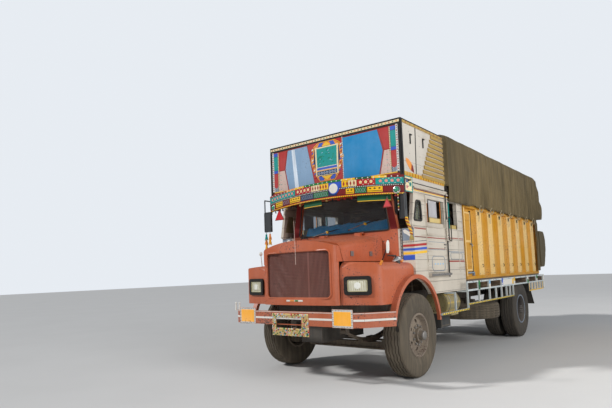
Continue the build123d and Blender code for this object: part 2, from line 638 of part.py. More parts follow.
with BuildPart() as fender_left:
    with BuildSketch(Plane.XY.offset(NOSE_BOTTOM)):
        with BuildLine():
            Polyline(
                (FENDER_INNER, along(CAB_FRONT - 0.3)),
                (FENDER_INNER, along(FENDER_FRONT)),
                (FENDER_CORNER_X, along(fender_face(FENDER_CORNER_X))),
            )
            sweep_arc = ThreePointArc(
                (FENDER_CORNER_X, along(fender_face(FENDER_CORNER_X))),
                (FENDER_OUTER - FENDER_CORNER_BULGE[0], along(FENDER_CORNER_BULGE[1])),
                (FENDER_OUTER, along(FENDER_CORNER_REAR)),
            )
            Polyline(
                sweep_arc @ 1, (FENDER_OUTER, along(CAB_FRONT - 0.3)), (FENDER_INNER, along(CAB_FRONT - 0.3))
            )
        make_face()
    extrude(amount=FENDER_TOP - NOSE_BOTTOM)
    with BuildSketch(Plane.XZ.offset(-along(CAB_FRONT))) as shoulder:
        with BuildLine():
            Polyline(
                (FENDER_INNER, NOSE_BOTTOM),
                (FENDER_INNER, FENDER_TOP),
                (FENDER_OUTER, FENDER_TOP - 30),
                (FENDER_OUTER, NOSE_BOTTOM),
                close=True,
            )
        make_face()
        fillet(shoulder.vertices().sort_by(Axis.X)[-2:].sort_by(Axis.Y)[-1], radius=90)
    extrude(amount=1100, mode=Mode.INTERSECT)
    with BuildSketch(Plane.YZ.offset(FENDER_INNER)) as brow:
        with BuildLine():
            Polyline(
                (along(FENDER_FRONT - 1), NOSE_BOTTOM),
                (along(FENDER_FRONT - 1), FENDER_TOP),
                (along(CAB_FRONT), FENDER_TOP),
                (along(CAB_FRONT), NOSE_BOTTOM),
                close=True,
            )
        make_face()
        fillet(brow.vertices().sort_by(Axis.X)[:2].sort_by(Axis.Y)[-1], radius=110)
    extrude(amount=FENDER_OUTER - FENDER_INNER, mode=Mode.INTERSECT)
    block(
        (FENDER_INNER + FENDER_SHEET, FENDER_OUTER - FENDER_SHEET),
        (FENDER_FRONT + 165, CAB_FRONT + 10),
        (NOSE_BOTTOM - 10, FENDER_TOP - 30 - FENDER_SHEET),
        mode=Mode.SUBTRACT,
    )
    with Locations(lamp_place(1)):
        recess = (2 * (LAMP_HALF - LAMP_RIM) + 1, 120, LAMP_Z[1] - LAMP_Z[0] - 2 * LAMP_RIM + 1)
        Box(*recess, mode=Mode.SUBTRACT)
    tube_along_x((FENDER_INNER - 40, FENDER_OUTER + 60), *ARCH_CENTRE, ARCH_RADIUS, mode=Mode.SUBTRACT)
    lip = (FENDER_OUTER - 1, FLARE_OUTER)
    beside = (FENDER_OUTER - 10, FLARE_OUTER + 10)
    tube_along_x(lip, *ARCH_CENTRE, ARCH_RADIUS + FLARE_LIP)
    tube_along_x(beside, *ARCH_CENTRE, ARCH_RADIUS, mode=Mode.SUBTRACT)
    cab_wall = (beside[0], CAB_HALF + PANEL_SEAT)
    block(cab_wall, (CAB_FRONT - PANEL_SEAT, 900), (-200, 1500), mode=Mode.SUBTRACT)
    block(beside, (-800, ARCH_CENTRE[0]), (-200, FLARE_FRONT_FOOT), mode=Mode.SUBTRACT)
    block(beside, (ARCH_CENTRE[0], 800), (-200, FLARE_REAR_FOOT), mode=Mode.SUBTRACT)
fender_right = mirrored(fender_left)


# Headlamps: a rectangular body in the fender's recess behind a bezel
with BuildPart() as headlamps:
    height = LAMP_Z[1] - LAMP_Z[0]
    for side in (-1, 1):
        with Locations(lamp_place(side)):
            with Locations((0, -PANEL_SEAT, 0)):
                Box(2 * LAMP_HALF, 18, height, align=(Align.CENTER, Align.MAX, Align.CENTER))
            with Locations((0, -17, 0)):
                lamp = (2 * (LAMP_HALF - LAMP_RIM), 72, height - 2 * LAMP_RIM)
                Box(*lamp, align=(Align.CENTER, Align.MIN, Align.CENTER))


# Cab front: sheet-metal cowl with the windscreen frame, standing on the front of the cab floor
PILLAR_FOOT = 880
PILLAR_HEAD = 780
SCREEN_Z = (1860, 2340)
SCREEN_HALF = (760, 690)
TUNNEL_HALF = 380
TUNNEL_TOP = 1560
TUNNEL_REAR = 430
CAB_FRONT_BACK = CAB_FRONT + CAB_SHEET


def screen_outline(gap):
    """Windscreen opening, seen from the front, shrunk by a gap."""
    return (
        (-SCREEN_HALF[0] + gap, SCREEN_Z[0] + gap),
        (SCREEN_HALF[0] - gap, SCREEN_Z[0] + gap),
        (SCREEN_HALF[1] - gap, SCREEN_Z[1] - gap),
        (-SCREEN_HALF[1] + gap, SCREEN_Z[1] - gap),
    )


with BuildPart() as cab_front:
    front_plate(
        (CAB_FRONT, CAB_FRONT_BACK),
        (
            (-PILLAR_FOOT, CAB_FLOOR),
            (PILLAR_FOOT, CAB_FLOOR),
            (PILLAR_FOOT, BELT_Z),
            (PILLAR_HEAD, CAB_TOP),
            (-PILLAR_HEAD, CAB_TOP),
            (-PILLAR_FOOT, BELT_Z),
        ),
    )
    front_plate((CAB_FRONT - 10, CAB_FRONT_BACK + 10), screen_outline(0), mode=Mode.SUBTRACT, corner=40)
    block(
        (-TUNNEL_HALF, TUNNEL_HALF),
        (CAB_FRONT - 10, CAB_FRONT_BACK + 10),
        (CAB_FLOOR - 10, TUNNEL_TOP),
        mode=Mode.SUBTRACT,
    )
    for x in HINGE_X:
        lug = (x + 45 + RUNNING_GAP, x + 70)
        tube_along_x(lug, *BONNET_HINGE, 8)
        block(lug, (BONNET_HINGE[0], CAB_FRONT + 1), (BONNET_HINGE[1] - 8, BONNET_HINGE[1] + 8))


# Cab side: wooden wall with its front return, wheel arch, door opening, window and porthole
PORTHOLE = ((85, 2215), (200, 2215), (220, 1962), (0, 1962))
REAR_WINDOW_Y = (1060, 1420)
LEDGE_Z = (1236, 1268)


def porthole_outline(gap):
    """Triangular side pane, seen from the side, shrunk by a gap."""
    (a, top), (b, _), (c, low), (d, _) = PORTHOLE
    return ((a, top - gap), (b, top - gap), (c - 1.3 * gap, low + gap), (d + 1.3 * gap, low + gap))


with BuildPart() as cab_side_left:
    wall = (CAB_HALF - CAB_WALL, CAB_HALF)
    side_plate(
        wall,
        (
            (CAB_FRONT, CAB_BOTTOM),
            (CAB_FRONT, BELT_Z),
            (-60, BELT_Z + 20),
            (40, CAB_TOP),
            (CAB_REAR, CAB_TOP),
            (CAB_REAR, CAB_BOTTOM),
        ),
    )
    front_return = (PILLAR_FOOT + PANEL_SEAT, CAB_HALF - CAB_WALL + 1)
    block(front_return, (CAB_FRONT, CAB_FRONT_BACK), (CAB_FLOOR, BELT_Z))
    cut = (CAB_HALF - 2 * CAB_WALL, CAB_HALF + 10)
    tube_along_x(cut, *ARCH_CENTRE, ARCH_RADIUS + 4, mode=Mode.SUBTRACT)
    block(cut, (DOOR_FRONT, DOOR_REAR), (DOOR_BOTTOM, DOOR_TOP), mode=Mode.SUBTRACT)
    block(cut, REAR_WINDOW_Y, (WINDOW_BOTTOM, WINDOW_TOP), mode=Mode.SUBTRACT)
    side_plate(cut, porthole_outline(0), mode=Mode.SUBTRACT)
    block((CAB_HALF, CAB_HALF + 50), (DOOR_FRONT - 10, DOOR_REAR + 10), LEDGE_Z)
cab_side_right = mirrored(cab_side_left)


# Glass: windscreen and the two side panes
with BuildPart() as window_glass:
    front_plate((CAB_FRONT + 27, CAB_FRONT + 33), screen_outline(PANEL_SEAT), corner=40 - PANEL_SEAT)
    for side in (-1, 1):
        pane = sorted((side * (CAB_HALF - 26), side * (CAB_HALF - 20)))
        side_plate(pane, porthole_outline(PANEL_SEAT))


# Cab floor on its bearers, with the cover over the engine
FLOOR_SHEET = 25
FLOOR_TOP = CAB_FLOOR + FLOOR_SHEET
CAB_BACK_FRONT = CAB_REAR - CAB_WALL

with BuildPart() as cab_floor:
    floor_half = CAB_HALF - CAB_WALL
    block((-floor_half, floor_half), (CAB_FRONT_BACK, CAB_BACK_FRONT), (CAB_FLOOR, FLOOR_TOP))
    block((-TUNNEL_HALF, TUNNEL_HALF), (CAB_FRONT_BACK, TUNNEL_REAR), (CAB_FLOOR, TUNNEL_TOP))
    block(
        (-TUNNEL_HALF + 20, TUNNEL_HALF - 20),
        (CAB_FRONT_BACK - 10, TUNNEL_REAR - 20),
        (CAB_FLOOR - 10, TUNNEL_TOP - 20),
        mode=Mode.SUBTRACT,
    )
    for y in (760, 1200, 1580):
        block((-floor_half, floor_half), (y - 30, y + 30), (CAB_FLOOR - 60, CAB_FLOOR))
        for side in (-1, 1):
            post = sorted((side * (RAIL_OUTER_X - RAIL_FLANGE), side * RAIL_OUTER_X))
            block(post, (y - 30, y + 30), (RAIL_TOP, CAB_FLOOR - 60))


# Cab back wall and roof
with BuildPart() as cab_back:
    block((-CAB_HALF + CAB_WALL, CAB_HALF - CAB_WALL), (CAB_BACK_FRONT, CAB_REAR), (CAB_BOTTOM, CAB_TOP))

ROOF_TOP = CAB_TOP + ROOF_SHEET

with BuildPart() as cab_roof:
    block((-CAB_HALF, CAB_HALF), (CROWN_FRONT + CROWN_SHEET, CAB_REAR), (CAB_TOP, ROOF_TOP))


# Doors: one slab each with a window, a grab rod and hinge knuckles on the front edge
DOOR_SLAB = CAB_WALL - 2
DOOR_AXIS = (CAB_HALF + 9, DOOR_FRONT - 6)
GRAB_Y = 965
GRAB_Z = (1720, 2020)

with BuildPart() as door_left:
    slab = (CAB_HALF - DOOR_SLAB, CAB_HALF)
    slab_y = (DOOR_FRONT + PANEL_GAP, DOOR_REAR - PANEL_GAP)
    block(slab, slab_y, (DOOR_BOTTOM + PANEL_GAP, DOOR_TOP - PANEL_GAP))
    window = (DOOR_FRONT + 30, DOOR_REAR - 50)
    block((slab[0] - 5, slab[1] + 5), window, (WINDOW_BOTTOM, WINDOW_TOP - 20), mode=Mode.SUBTRACT)
    for z in (1420, 1800, 2200):
        rod((DOOR_AXIS[0], DOOR_AXIS[1], z), (DOOR_AXIS[0], DOOR_AXIS[1], z + 90), 8)
        block((CAB_HALF, CAB_HALF + 5), (DOOR_FRONT - 4, DOOR_FRONT + 60), (z + 10, z + 80))
    rod((CAB_HALF + 32, GRAB_Y, GRAB_Z[0]), (CAB_HALF + 32, GRAB_Y, GRAB_Z[1]), 9)
    for z in (GRAB_Z[0] + 20, GRAB_Z[1] - 20):
        tube_along_x((CAB_HALF, CAB_HALF + 32), GRAB_Y, z, 7)
door_right = mirrored(door_left)


# Seats: the driver's on the truck's right and a bench for two
SEAT_Y = (800, 1260)
SEAT_Z = (1500, 1980)

with BuildPart() as seats:
    for x in ((-820, -320), (-60, 860)):
        block((x[0] + 30, x[1] - 30), (SEAT_Y[0] + 40, SEAT_Y[1]), (FLOOR_TOP, SEAT_Z[0] - 110))
        block(x, SEAT_Y, (SEAT_Z[0] - 110, SEAT_Z[0]))
        block(x, (SEAT_Y[1] - 110, SEAT_Y[1]), (SEAT_Z[0], SEAT_Z[1]))


# Dashboard on the cowl, the steering column on the floor and the wheel on the column
COLUMN_X = -560
COLUMN_TILT = 30
HUB_Y = 520
HUB_Z = 1790
WHEEL_RING = 235
column_lean = math.sin(math.radians(COLUMN_TILT))
column_rise = math.cos(math.radians(COLUMN_TILT))
COLUMN_RADIUS = 26
COLUMN_LENGTH = (HUB_Z - FLOOR_TOP - COLUMN_RADIUS * column_lean) / column_rise - 1


def on_column(distance):
    """Place on the steering column's axis, measured up from the wheel's middle."""
    return (COLUMN_X, HUB_Y + distance * column_lean, HUB_Z + distance * column_rise)


with BuildPart() as dashboard:
    floor_half = CAB_HALF - CAB_WALL
    block((-floor_half + 2, floor_half - 2), (CAB_FRONT_BACK, 250), (1610, 1845))
    rod(on_column(-COLUMN_LENGTH), on_column(-26), COLUMN_RADIUS)
    foot = on_column(-COLUMN_LENGTH)
    block((COLUMN_X - 60, COLUMN_X + 60), (foot[1] - 60, foot[1] + 70), (FLOOR_TOP, FLOOR_TOP + 45))
    block((COLUMN_X - 40, COLUMN_X + 40), (200, HUB_Y - 90), (1615, 1665))

with BuildPart() as steering_wheel:
    wheel_axis = Plane(
        origin=(COLUMN_X, along(HUB_Y), HUB_Z), x_dir=(1, 0, 0), z_dir=(0, column_lean, column_rise)
    )
    with BuildSketch(Plane(origin=wheel_axis.origin, x_dir=(1, 0, 0), z_dir=wheel_axis.y_dir)):
        with Locations((WHEEL_RING, 0)):
            Circle(15)
    revolve(axis=Axis(wheel_axis.origin, wheel_axis.z_dir))
    rod(on_column(-26 + RUNNING_GAP), on_column(22), 44)
    for step in range(4):
        angle = math.radians(45 + 90 * step)
        reach = wheel_axis.x_dir * math.cos(angle) + wheel_axis.y_dir * math.sin(angle)
        with BuildSketch(Plane(origin=wheel_axis.origin + reach * 30, z_dir=reach)):
            Circle(9)
        extrude(amount=WHEEL_RING - 30)


# Crown: the painted front board, the box over the cab behind it and the bowed visor below
VISOR_Z = (CROWN_BOTTOM - 235, CROWN_BOTTOM + 5)
VISOR_RISE = 45
VISOR_BOW = 190
VISOR_HALF = 1125
VISOR_SHEET = 30
BATTEN_COUNT = 10
BATTEN_PITCH = 66
BATTEN_HEIGHT = 44
BATTEN_SHEET = 12
BATTEN_FRONT = 310
BATTEN_STEP = 37

with BuildPart() as crown_board:
    block((-CAB_HALF, CAB_HALF), (CROWN_FRONT, CROWN_FRONT + CROWN_SHEET), (CROWN_BOTTOM, CROWN_TOP))

with BuildPart() as crown_box:
    box_front = CROWN_FRONT + CROWN_SHEET
    block((-CAB_HALF, CAB_HALF), (box_front, CROWN_REAR), (ROOF_TOP, CROWN_TOP))
    inner = CAB_HALF - CROWN_SHEET
    hollow_y = (box_front - 10, CROWN_REAR + 10)
    block((-inner, inner), hollow_y, (CROWN_BOTTOM, CROWN_TOP + 10), mode=Mode.SUBTRACT)
    for side in (-1, 1):
        for row in range(BATTEN_COUNT):
            batten = sorted((side * CAB_HALF, side * (CAB_HALF + BATTEN_SHEET)))
            low = CROWN_BOTTOM + 40 + row * BATTEN_PITCH
            start = BATTEN_FRONT + row * BATTEN_STEP
            block(batten, (start, CROWN_REAR), (low, low + BATTEN_HEIGHT))


def arched(z):
    """Edge of the visor seen from the front: its two ends and its raised middle."""
    return ((-VISOR_HALF, z), (0, z + VISOR_RISE), (VISOR_HALF, z))


with BuildPart() as visor_band:
    with BuildSketch(Plane.XY.offset(VISOR_Z[0])):
        with BuildLine():
            front = ThreePointArc(*bowed(CROWN_FRONT - VISOR_BOW, CROWN_FRONT - 10, VISOR_HALF))
            back = ThreePointArc(
                *bowed(CROWN_FRONT - VISOR_BOW + VISOR_SHEET, CROWN_FRONT - 10 + VISOR_SHEET, VISOR_HALF)
            )
            Line(front @ 0, back @ 0)
            Line(front @ 1, back @ 1)
        make_face()
    extrude(amount=VISOR_Z[1] + VISOR_RISE - VISOR_Z[0])
    with BuildSketch(Plane.XZ.offset(-along(0))):
        with BuildLine():
            upper = ThreePointArc(*arched(VISOR_Z[1]))
            under = ThreePointArc(*arched(VISOR_Z[0]))
            Line(upper @ 0, under @ 0)
            Line(upper @ 1, under @ 1)
        make_face()
    extrude(amount=600, mode=Mode.INTERSECT)
    with BuildSketch(Plane.XY.offset(CROWN_BOTTOM - 16)):
        with BuildLine():
            front = ThreePointArc(*bowed(CROWN_FRONT - VISOR_BOW, CROWN_FRONT - 10, VISOR_HALF))
            Polyline(
                front @ 0,
                (-VISOR_HALF, along(CROWN_FRONT + CROWN_SHEET)),
                (VISOR_HALF, along(CROWN_FRONT + CROWN_SHEET)),
                front @ 1,
            )
        make_face()
    extrude(amount=16)
    seat_z = (CROWN_BOTTOM, VISOR_Z[1] + VISOR_RISE)
    block((-VISOR_HALF - 10, VISOR_HALF + 10), (CROWN_FRONT - PANEL_SEAT, 200), seat_z, mode=Mode.SUBTRACT)
    for side in (-1, 1):
        lamp_box = sorted((side * (CAB_HALF + 1), side * VISOR_HALF))
        block(lamp_box, (CROWN_FRONT - 12, -40), (VISOR_Z[0] + 30, CROWN_BOTTOM))


# Load floor on its cross bearers, with the lugs of the tailboard's hinges
BEARER_TOP = 1090
DECK_TOP = BODY_FLOOR_TOP + 4
TAIL_SHEET = 50
TAIL_HINGE = (BODY_REAR + TAIL_SHEET + 14, BODY_FLOOR_TOP - 12)
TAIL_HINGE_X = (-700, 0, 700)
FLAP_Y = WHEELBASE + 550
RAIL_POST_Y = (1875, 2359, 3008, 3720, 4617, 5312, 5865)
BEARER_HALF = SIDE_RAIL_HALF - SIDE_RAIL_SHEET
BEARERS = (
    # distance behind the front axle, half length
    *((y, BEARER_HALF) for y in RAIL_POST_Y),
    (WHEELBASE, REAR_HUB_X),
    (FLAP_Y + 20, BEARER_HALF),
)

with BuildPart() as load_floor:
    block((-BODY_HALF, BODY_HALF), (BODY_FRONT, BODY_REAR), (BEARER_TOP, BODY_FLOOR_TOP))
    deck_half = BODY_HALF - RIB_DEPTH - BODY_SHEET - 6
    block((-deck_half, deck_half), (BODY_FRONT + 40, BODY_REAR - 10), (BODY_FLOOR_TOP, DECK_TOP))
    for y, half in BEARERS:
        block((-half, half), (y - 35, y + 35), (RAIL_TOP, BEARER_TOP))
    for x in TAIL_HINGE_X:
        lug = (x + 60 + RUNNING_GAP, x + 90)
        block(lug, (BODY_REAR - 20, TAIL_HINGE[0]), (TAIL_HINGE[1] - 12, TAIL_HINGE[1] + 12))
        tube_along_x(lug, *TAIL_HINGE, 12)


# Load body side: ribbed sheet between rails, with the small service door's opening on the left
SIDE_DOOR_Y = (1760, 2050)
SIDE_DOOR_Z = (1270, 2215)
SHEET_OUTER = BODY_HALF - RIB_DEPTH
RIB_FIRST = 2110
RIB_PITCH = (BODY_REAR - 60 - RIB_FIRST) / RIB_COUNT
RIB_FACE = 0.46 * RIB_PITCH


def load_side():
    """One ribbed side of the load body, on the truck's left."""
    with BuildPart() as wall:
        sheet = (SHEET_OUTER - BODY_SHEET, SHEET_OUTER)
        block(sheet, (BODY_FRONT, BODY_REAR), (BODY_FLOOR_TOP, BODY_WALL_TOP))
        block((SHEET_OUTER, BODY_HALF), (BODY_FRONT, BODY_REAR), (BODY_FLOOR_TOP, BODY_FLOOR_TOP + 40))
        block((SHEET_OUTER, BODY_HALF), (BODY_FRONT, BODY_REAR), (BODY_WALL_TOP - 60, BODY_WALL_TOP))
        for post in ((BODY_FRONT, BODY_FRONT + 40), (BODY_REAR - 60, BODY_REAR)):
            block((SHEET_OUTER, BODY_HALF), post, (BODY_FLOOR_TOP, BODY_WALL_TOP))
        for rib in range(RIB_COUNT):
            middle = along(RIB_FIRST + (rib + 0.5) * RIB_PITCH)
            with BuildSketch(Plane.XY.offset(BODY_FLOOR_TOP + 40)) as section:
                with BuildLine():
                    Polyline(
                        (SHEET_OUTER, middle - RIB_FACE / 2 - 22),
                        (BODY_HALF, middle - RIB_FACE / 2),
                        (BODY_HALF, middle + RIB_FACE / 2),
                        (SHEET_OUTER, middle + RIB_FACE / 2 + 22),
                        close=True,
                    )
                make_face()
            extrude(section.sketch, amount=BODY_WALL_TOP - 60 - BODY_FLOOR_TOP - 40)
    return wall


SIDE_HINGE = (SHEET_OUTER + 22, SIDE_DOOR_Y[0] + 2)
SIDE_HINGE_Z = (SIDE_DOOR_Z[0] + 60, SIDE_DOOR_Z[1] - 160)

load_side_right = mirrored(load_side())
with BuildPart() as load_side_left:
    add(load_side().part)
    block((SHEET_OUTER - BODY_SHEET - 5, BODY_HALF + 5), SIDE_DOOR_Y, SIDE_DOOR_Z, mode=Mode.SUBTRACT)
    for z in SIDE_HINGE_Z:
        lug_z = (z - 35, z - RUNNING_GAP)
        rod((*SIDE_HINGE, lug_z[0]), (*SIDE_HINGE, lug_z[1]), 8)
        block((SHEET_OUTER - 1, SIDE_HINGE[0]), (SIDE_DOOR_Y[0] - 20, SIDE_DOOR_Y[0]), lug_z)

with BuildPart() as side_door:
    slab_y = (SIDE_DOOR_Y[0] + PANEL_GAP, SIDE_DOOR_Y[1] - PANEL_GAP)
    slab_z = (SIDE_DOOR_Z[0] + PANEL_GAP, SIDE_DOOR_Z[1] - PANEL_GAP)
    block((SHEET_OUTER - BODY_SHEET, SHEET_OUTER + 14), slab_y, slab_z)
    for z in SIDE_HINGE_Z:
        rod((*SIDE_HINGE, z), (*SIDE_HINGE, z + 90), 8)
        block((SHEET_OUTER + 14, SIDE_HINGE[0]), (SIDE_HINGE[1], slab_y[1] - 30), (z + 15, z + 75))

with BuildPart() as headboard:
    inner = SHEET_OUTER - BODY_SHEET
    block((-inner, inner), (BODY_FRONT, BODY_FRONT + 30), (BODY_FLOOR_TOP, BODY_WALL_TOP))


# Tailboard hinged along its foot, with the tied roll of spare canvas that hangs on it
TAIL_TOP = 2312
ROLL_Y = (BODY_REAR + TAIL_SHEET + 0.3, REAR_REACH)
ROLL_Z = (1270, 2110)
ROLL_HALF = 1165

with BuildPart() as tailboard:
    board_y = (BODY_REAR + 2, BODY_REAR + TAIL_SHEET)
    block((-BODY_HALF, BODY_HALF), board_y, (BODY_FLOOR_TOP + 4, TAIL_TOP))
    for x in TAIL_HINGE_X:
        tube_along_x((x - 60, x + 60), *TAIL_HINGE, 12)
        strap_z = (TAIL_HINGE[1], BODY_FLOOR_TOP + 70)
        block((x - 60, x + 60), (BODY_REAR + TAIL_SHEET - 1, TAIL_HINGE[0] + 10), strap_z)

with BuildPart() as tarp_roll:
    with BuildSketch(Plane.YZ.offset(-ROLL_HALF)) as fold:
        with BuildLine():
            Polyline(
                (along(ROLL_Y[0]), ROLL_Z[0]),
                (along(ROLL_Y[0]), ROLL_Z[1]),
                (along(ROLL_Y[1] - 60), ROLL_Z[1]),
                (along(ROLL_Y[1]), ROLL_Z[1] - 200),
                (along(ROLL_Y[1]), ROLL_Z[1] - 420),
                (along(ROLL_Y[1] - 220), ROLL_Z[0]),
                close=True,
            )
        make_face()
        fillet(fold.vertices().sort_by(Axis.X)[2:], radius=90)
    extrude(amount=2 * ROLL_HALF)


# Hoops and rails that carry the tarpaulin
HOOP_HALF = 1090
HOOP_TUBE = 40
HOOP_TOP = TARP_TOP - TARP_THICK - 2
HOOP_LEG_TOP = HOOP_TOP - 19
HOOPS = (
    # distance behind the front axle, foot height
    (1200, ROOF_TOP),
    (2350, BODY_WALL_TOP),
    (3520, BODY_WALL_TOP),
    (4690, BODY_WALL_TOP),
    (5780, BODY_WALL_TOP),
)

with BuildPart() as hoop_frame:
    inner = HOOP_HALF - HOOP_TUBE
    for y, foot in HOOPS:
        tube = (y - HOOP_TUBE / 2, y + HOOP_TUBE / 2)
        block((-inner + PANEL_SEAT, inner - PANEL_SEAT), tube, (HOOP_TOP - HOOP_TUBE, HOOP_TOP))
        for side in (-1, 1):
            block(sorted((side * inner, side * HOOP_HALF)), tube, (foot, HOOP_LEG_TOP))
    for (ahead, _), (behind, _) in zip(HOOPS, HOOPS[1:]):
        run = (ahead + HOOP_TUBE / 2 + PANEL_SEAT, behind - HOOP_TUBE / 2 - PANEL_SEAT)
        for x in (-HOOP_HALF + 200, -HOOP_TUBE / 2, HOOP_HALF - 240):
            block((x, x + HOOP_TUBE), run, (HOOP_TOP - HOOP_TUBE, HOOP_TOP))


# Tarpaulin: a canvas shell, open below, bulging at the rear
TARP_BULGE = 6480
TARP_SKIRT = 2340
TARP_TAIL_Y = (5830, BODY_REAR + 20)
TARP_TAIL_FOOT = 1190


def tarp_solid(inset):
    """Outer or inner form of the tarpaulin; inset moves every face inwards."""
    front = along(TARP_FRONT + inset)
    top = TARP_TOP - inset
    half = TARP_HALF - inset
    slant = 0.41 * inset
    with BuildPart() as form:
        with BuildSketch(Plane.YZ.offset(-half)):
            with BuildLine():
                Polyline(
                    (front, TARP_HEM),
                    (front, TARP_TOP - 60 - slant),
                    (along(TARP_FRONT + 60 + slant), top),
                    (along(TARP_REAR - 250 - slant), top),
                    (along(TARP_REAR - 40 - inset), TARP_TOP - 110 - slant),
                    (along(TARP_REAR + 80 - inset), TARP_TOP - 310),
                    (along(TARP_BULGE - inset), 2620),
                    (along(TARP_BULGE - 60 - inset), TARP_HEM),
                    close=True,
                )
            make_face()
        extrude(amount=2 * half)
        eave = TARP_TOP - 100 - slant
        shoulder = half - 100 + inset - slant
        gable = (
            (-half, TARP_HEM),
            (-half, eave),
            (-half + 30 + slant / 2, eave + 70),
            (-shoulder, top),
            (shoulder, top),
            (half - 30 - slant / 2, eave + 70),
            (half, eave),
            (half, TARP_HEM),
        )
        front_plate((TARP_FRONT - 100, TARP_BULGE + 100), gable, mode=Mode.INTERSECT)
    return form.part


with BuildPart() as tarpaulin:
    add(tarp_solid(0))
    add(tarp_solid(TARP_THICK), mode=Mode.SUBTRACT)
    reach = TARP_HALF + 10
    block((-reach, reach), (BODY_REAR + 20, TARP_BULGE + 60), (TARP_HEM - 10, TARP_SKIRT), mode=Mode.SUBTRACT)
    for side in (-1, 1):
        tail = sorted((side * (TARP_HALF - TARP_THICK), side * TARP_HALF))
        block(tail, TARP_TAIL_Y, (TARP_TAIL_FOOT, TARP_HEM + 5))
    sill = CAB_HALF + PANEL_SEAT
    sill_z = (TARP_HEM - 10, ROOF_TOP + PANEL_SEAT)
    block((-sill, sill), (TARP_FRONT - 10, TARP_FRONT + 200), sill_z, mode=Mode.SUBTRACT)


# Side rails outside the wheels, the guards below them and the lattice at the rear
RAIL_X = (SIDE_RAIL_HALF - SIDE_RAIL_SHEET, SIDE_RAIL_HALF)
SIDE_RAIL_Y = (1385, 5900)
MID_RAIL_Z = (985, 1010)
GUARD_Z = (790, 812)
GUARD_REAR = 3650
GUARD_POSTS = (1870, 2356, 2674, 2970, 3243, 3446, GUARD_REAR - 9)
FOOT_GUARD_Z = (722, 746)
FOOT_GUARD_FRONT = 440
FOOT_POST_Y = 915
LATTICE_Y = (4720, 5900)
LATTICE_Z = 825
POST_WIDTH = 70

with BuildPart() as side_rail_left:
    block(RAIL_X, SIDE_RAIL_Y, (SIDE_RAIL_TOP - 25, SIDE_RAIL_TOP))
    block(RAIL_X, SIDE_RAIL_Y, MID_RAIL_Z)
    for y in RAIL_POST_Y:
        block(RAIL_X, (y - POST_WIDTH / 2, y + POST_WIDTH / 2), (MID_RAIL_Z[0], SIDE_RAIL_TOP))
    block(RAIL_X, (SIDE_RAIL_Y[1] - POST_WIDTH, SIDE_RAIL_Y[1]), (LATTICE_Z, SIDE_RAIL_TOP))
    block(RAIL_X, (SIDE_RAIL_Y[0], GUARD_REAR), GUARD_Z)
    for y in GUARD_POSTS:
        block(RAIL_X, (y - 9, y + 9), (GUARD_Z[0], MID_RAIL_Z[0] + 5))
    block(RAIL_X, (FOOT_GUARD_FRONT, SIDE_RAIL_Y[0] + 20), FOOT_GUARD_Z)
    block(RAIL_X, (SIDE_RAIL_Y[0], SIDE_RAIL_Y[0] + 20), (FOOT_GUARD_Z[0], SIDE_RAIL_TOP))
    block(RAIL_X, (FOOT_POST_Y, FOOT_POST_Y + 20), (FOOT_GUARD_Z[0], CAB_BOTTOM))
    for y in (FOOT_POST_Y, SIDE_RAIL_Y[0]):
        block((CAB_HALF - CAB_WALL, RAIL_X[1]), (y, y + 20), (CAB_BOTTOM - 24, CAB_BOTTOM))
    lattice_x = (RAIL_X[0] + 8, RAIL_X[0] + 16)
    block(lattice_x, LATTICE_Y, (LATTICE_Z, LATTICE_Z + 20))
    for step in range(12):
        y = LATTICE_Y[0] + step * (LATTICE_Y[1] - LATTICE_Y[0] - 30) / 11
        block(lattice_x, (y, y + 30), (LATTICE_Z, MID_RAIL_Z[0] + 5))

with BuildPart() as side_rails:
    add(side_rail_left.part)
    mirror(side_rail_left.part, about=Plane.YZ)


# Mud flaps behind the rear wheels, hung from a cross bearer
FLAP_OUTLINE = ((0, RAIL_TOP), (14, RAIL_TOP), (344, 552), (330, 552))

with BuildPart() as mudflaps:
    for side in (-1, 1):
        flap = sorted((side * 620, side * (RAIL_X[0] - 10)))
        side_plate(flap, [(FLAP_Y + y, z) for y, z in FLAP_OUTLINE])


# Tanks: air tank and locker on the left, fuel tank on the right, each on its bracket
AIR_TANK = {"x": 890, "z": 835, "radius": 170, "y": (1000, 1480)}
LOCKER = {"x": (930, 1080), "y": (690, 1010), "z": (527, FOOT_GUARD_Z[0])}

with BuildPart() as tanks:
    ends = [(AIR_TANK["x"], y, AIR_TANK["z"]) for y in AIR_TANK["y"]]
    rod(*ends, AIR_TANK["radius"])
    block((RAIL_OUTER_X, AIR_TANK["x"]), (1200, 1280), (810, 870))
    block(LOCKER["x"], LOCKER["y"], LOCKER["z"])
    locker_arm = (LOCKER["z"][1] - 25, LOCKER["z"][1])
    block((LOCKER["x"][1] - 1, RAIL_X[1]), (LOCKER["y"][0] + 40, LOCKER["y"][1] - 40), locker_arm)
    block((-1040, -520), (1900, 3150), (540, 950))
    for y in (2100, 2900):
        block((-520, -RAIL_OUTER_X), (y, y + 70), (830, 940))


# Mirrors on bent tubes from the visor's end boxes
MIRROR_REACH = VISOR_HALF + 40
MIRROR_WIDTH = 132
MIRROR_TURN = {-1: 0, 1: -35}
MIRROR_Y = -330
MIRROR_Z = (1960, VISOR_Z[0] - 9)
ARM_TOP = 2440

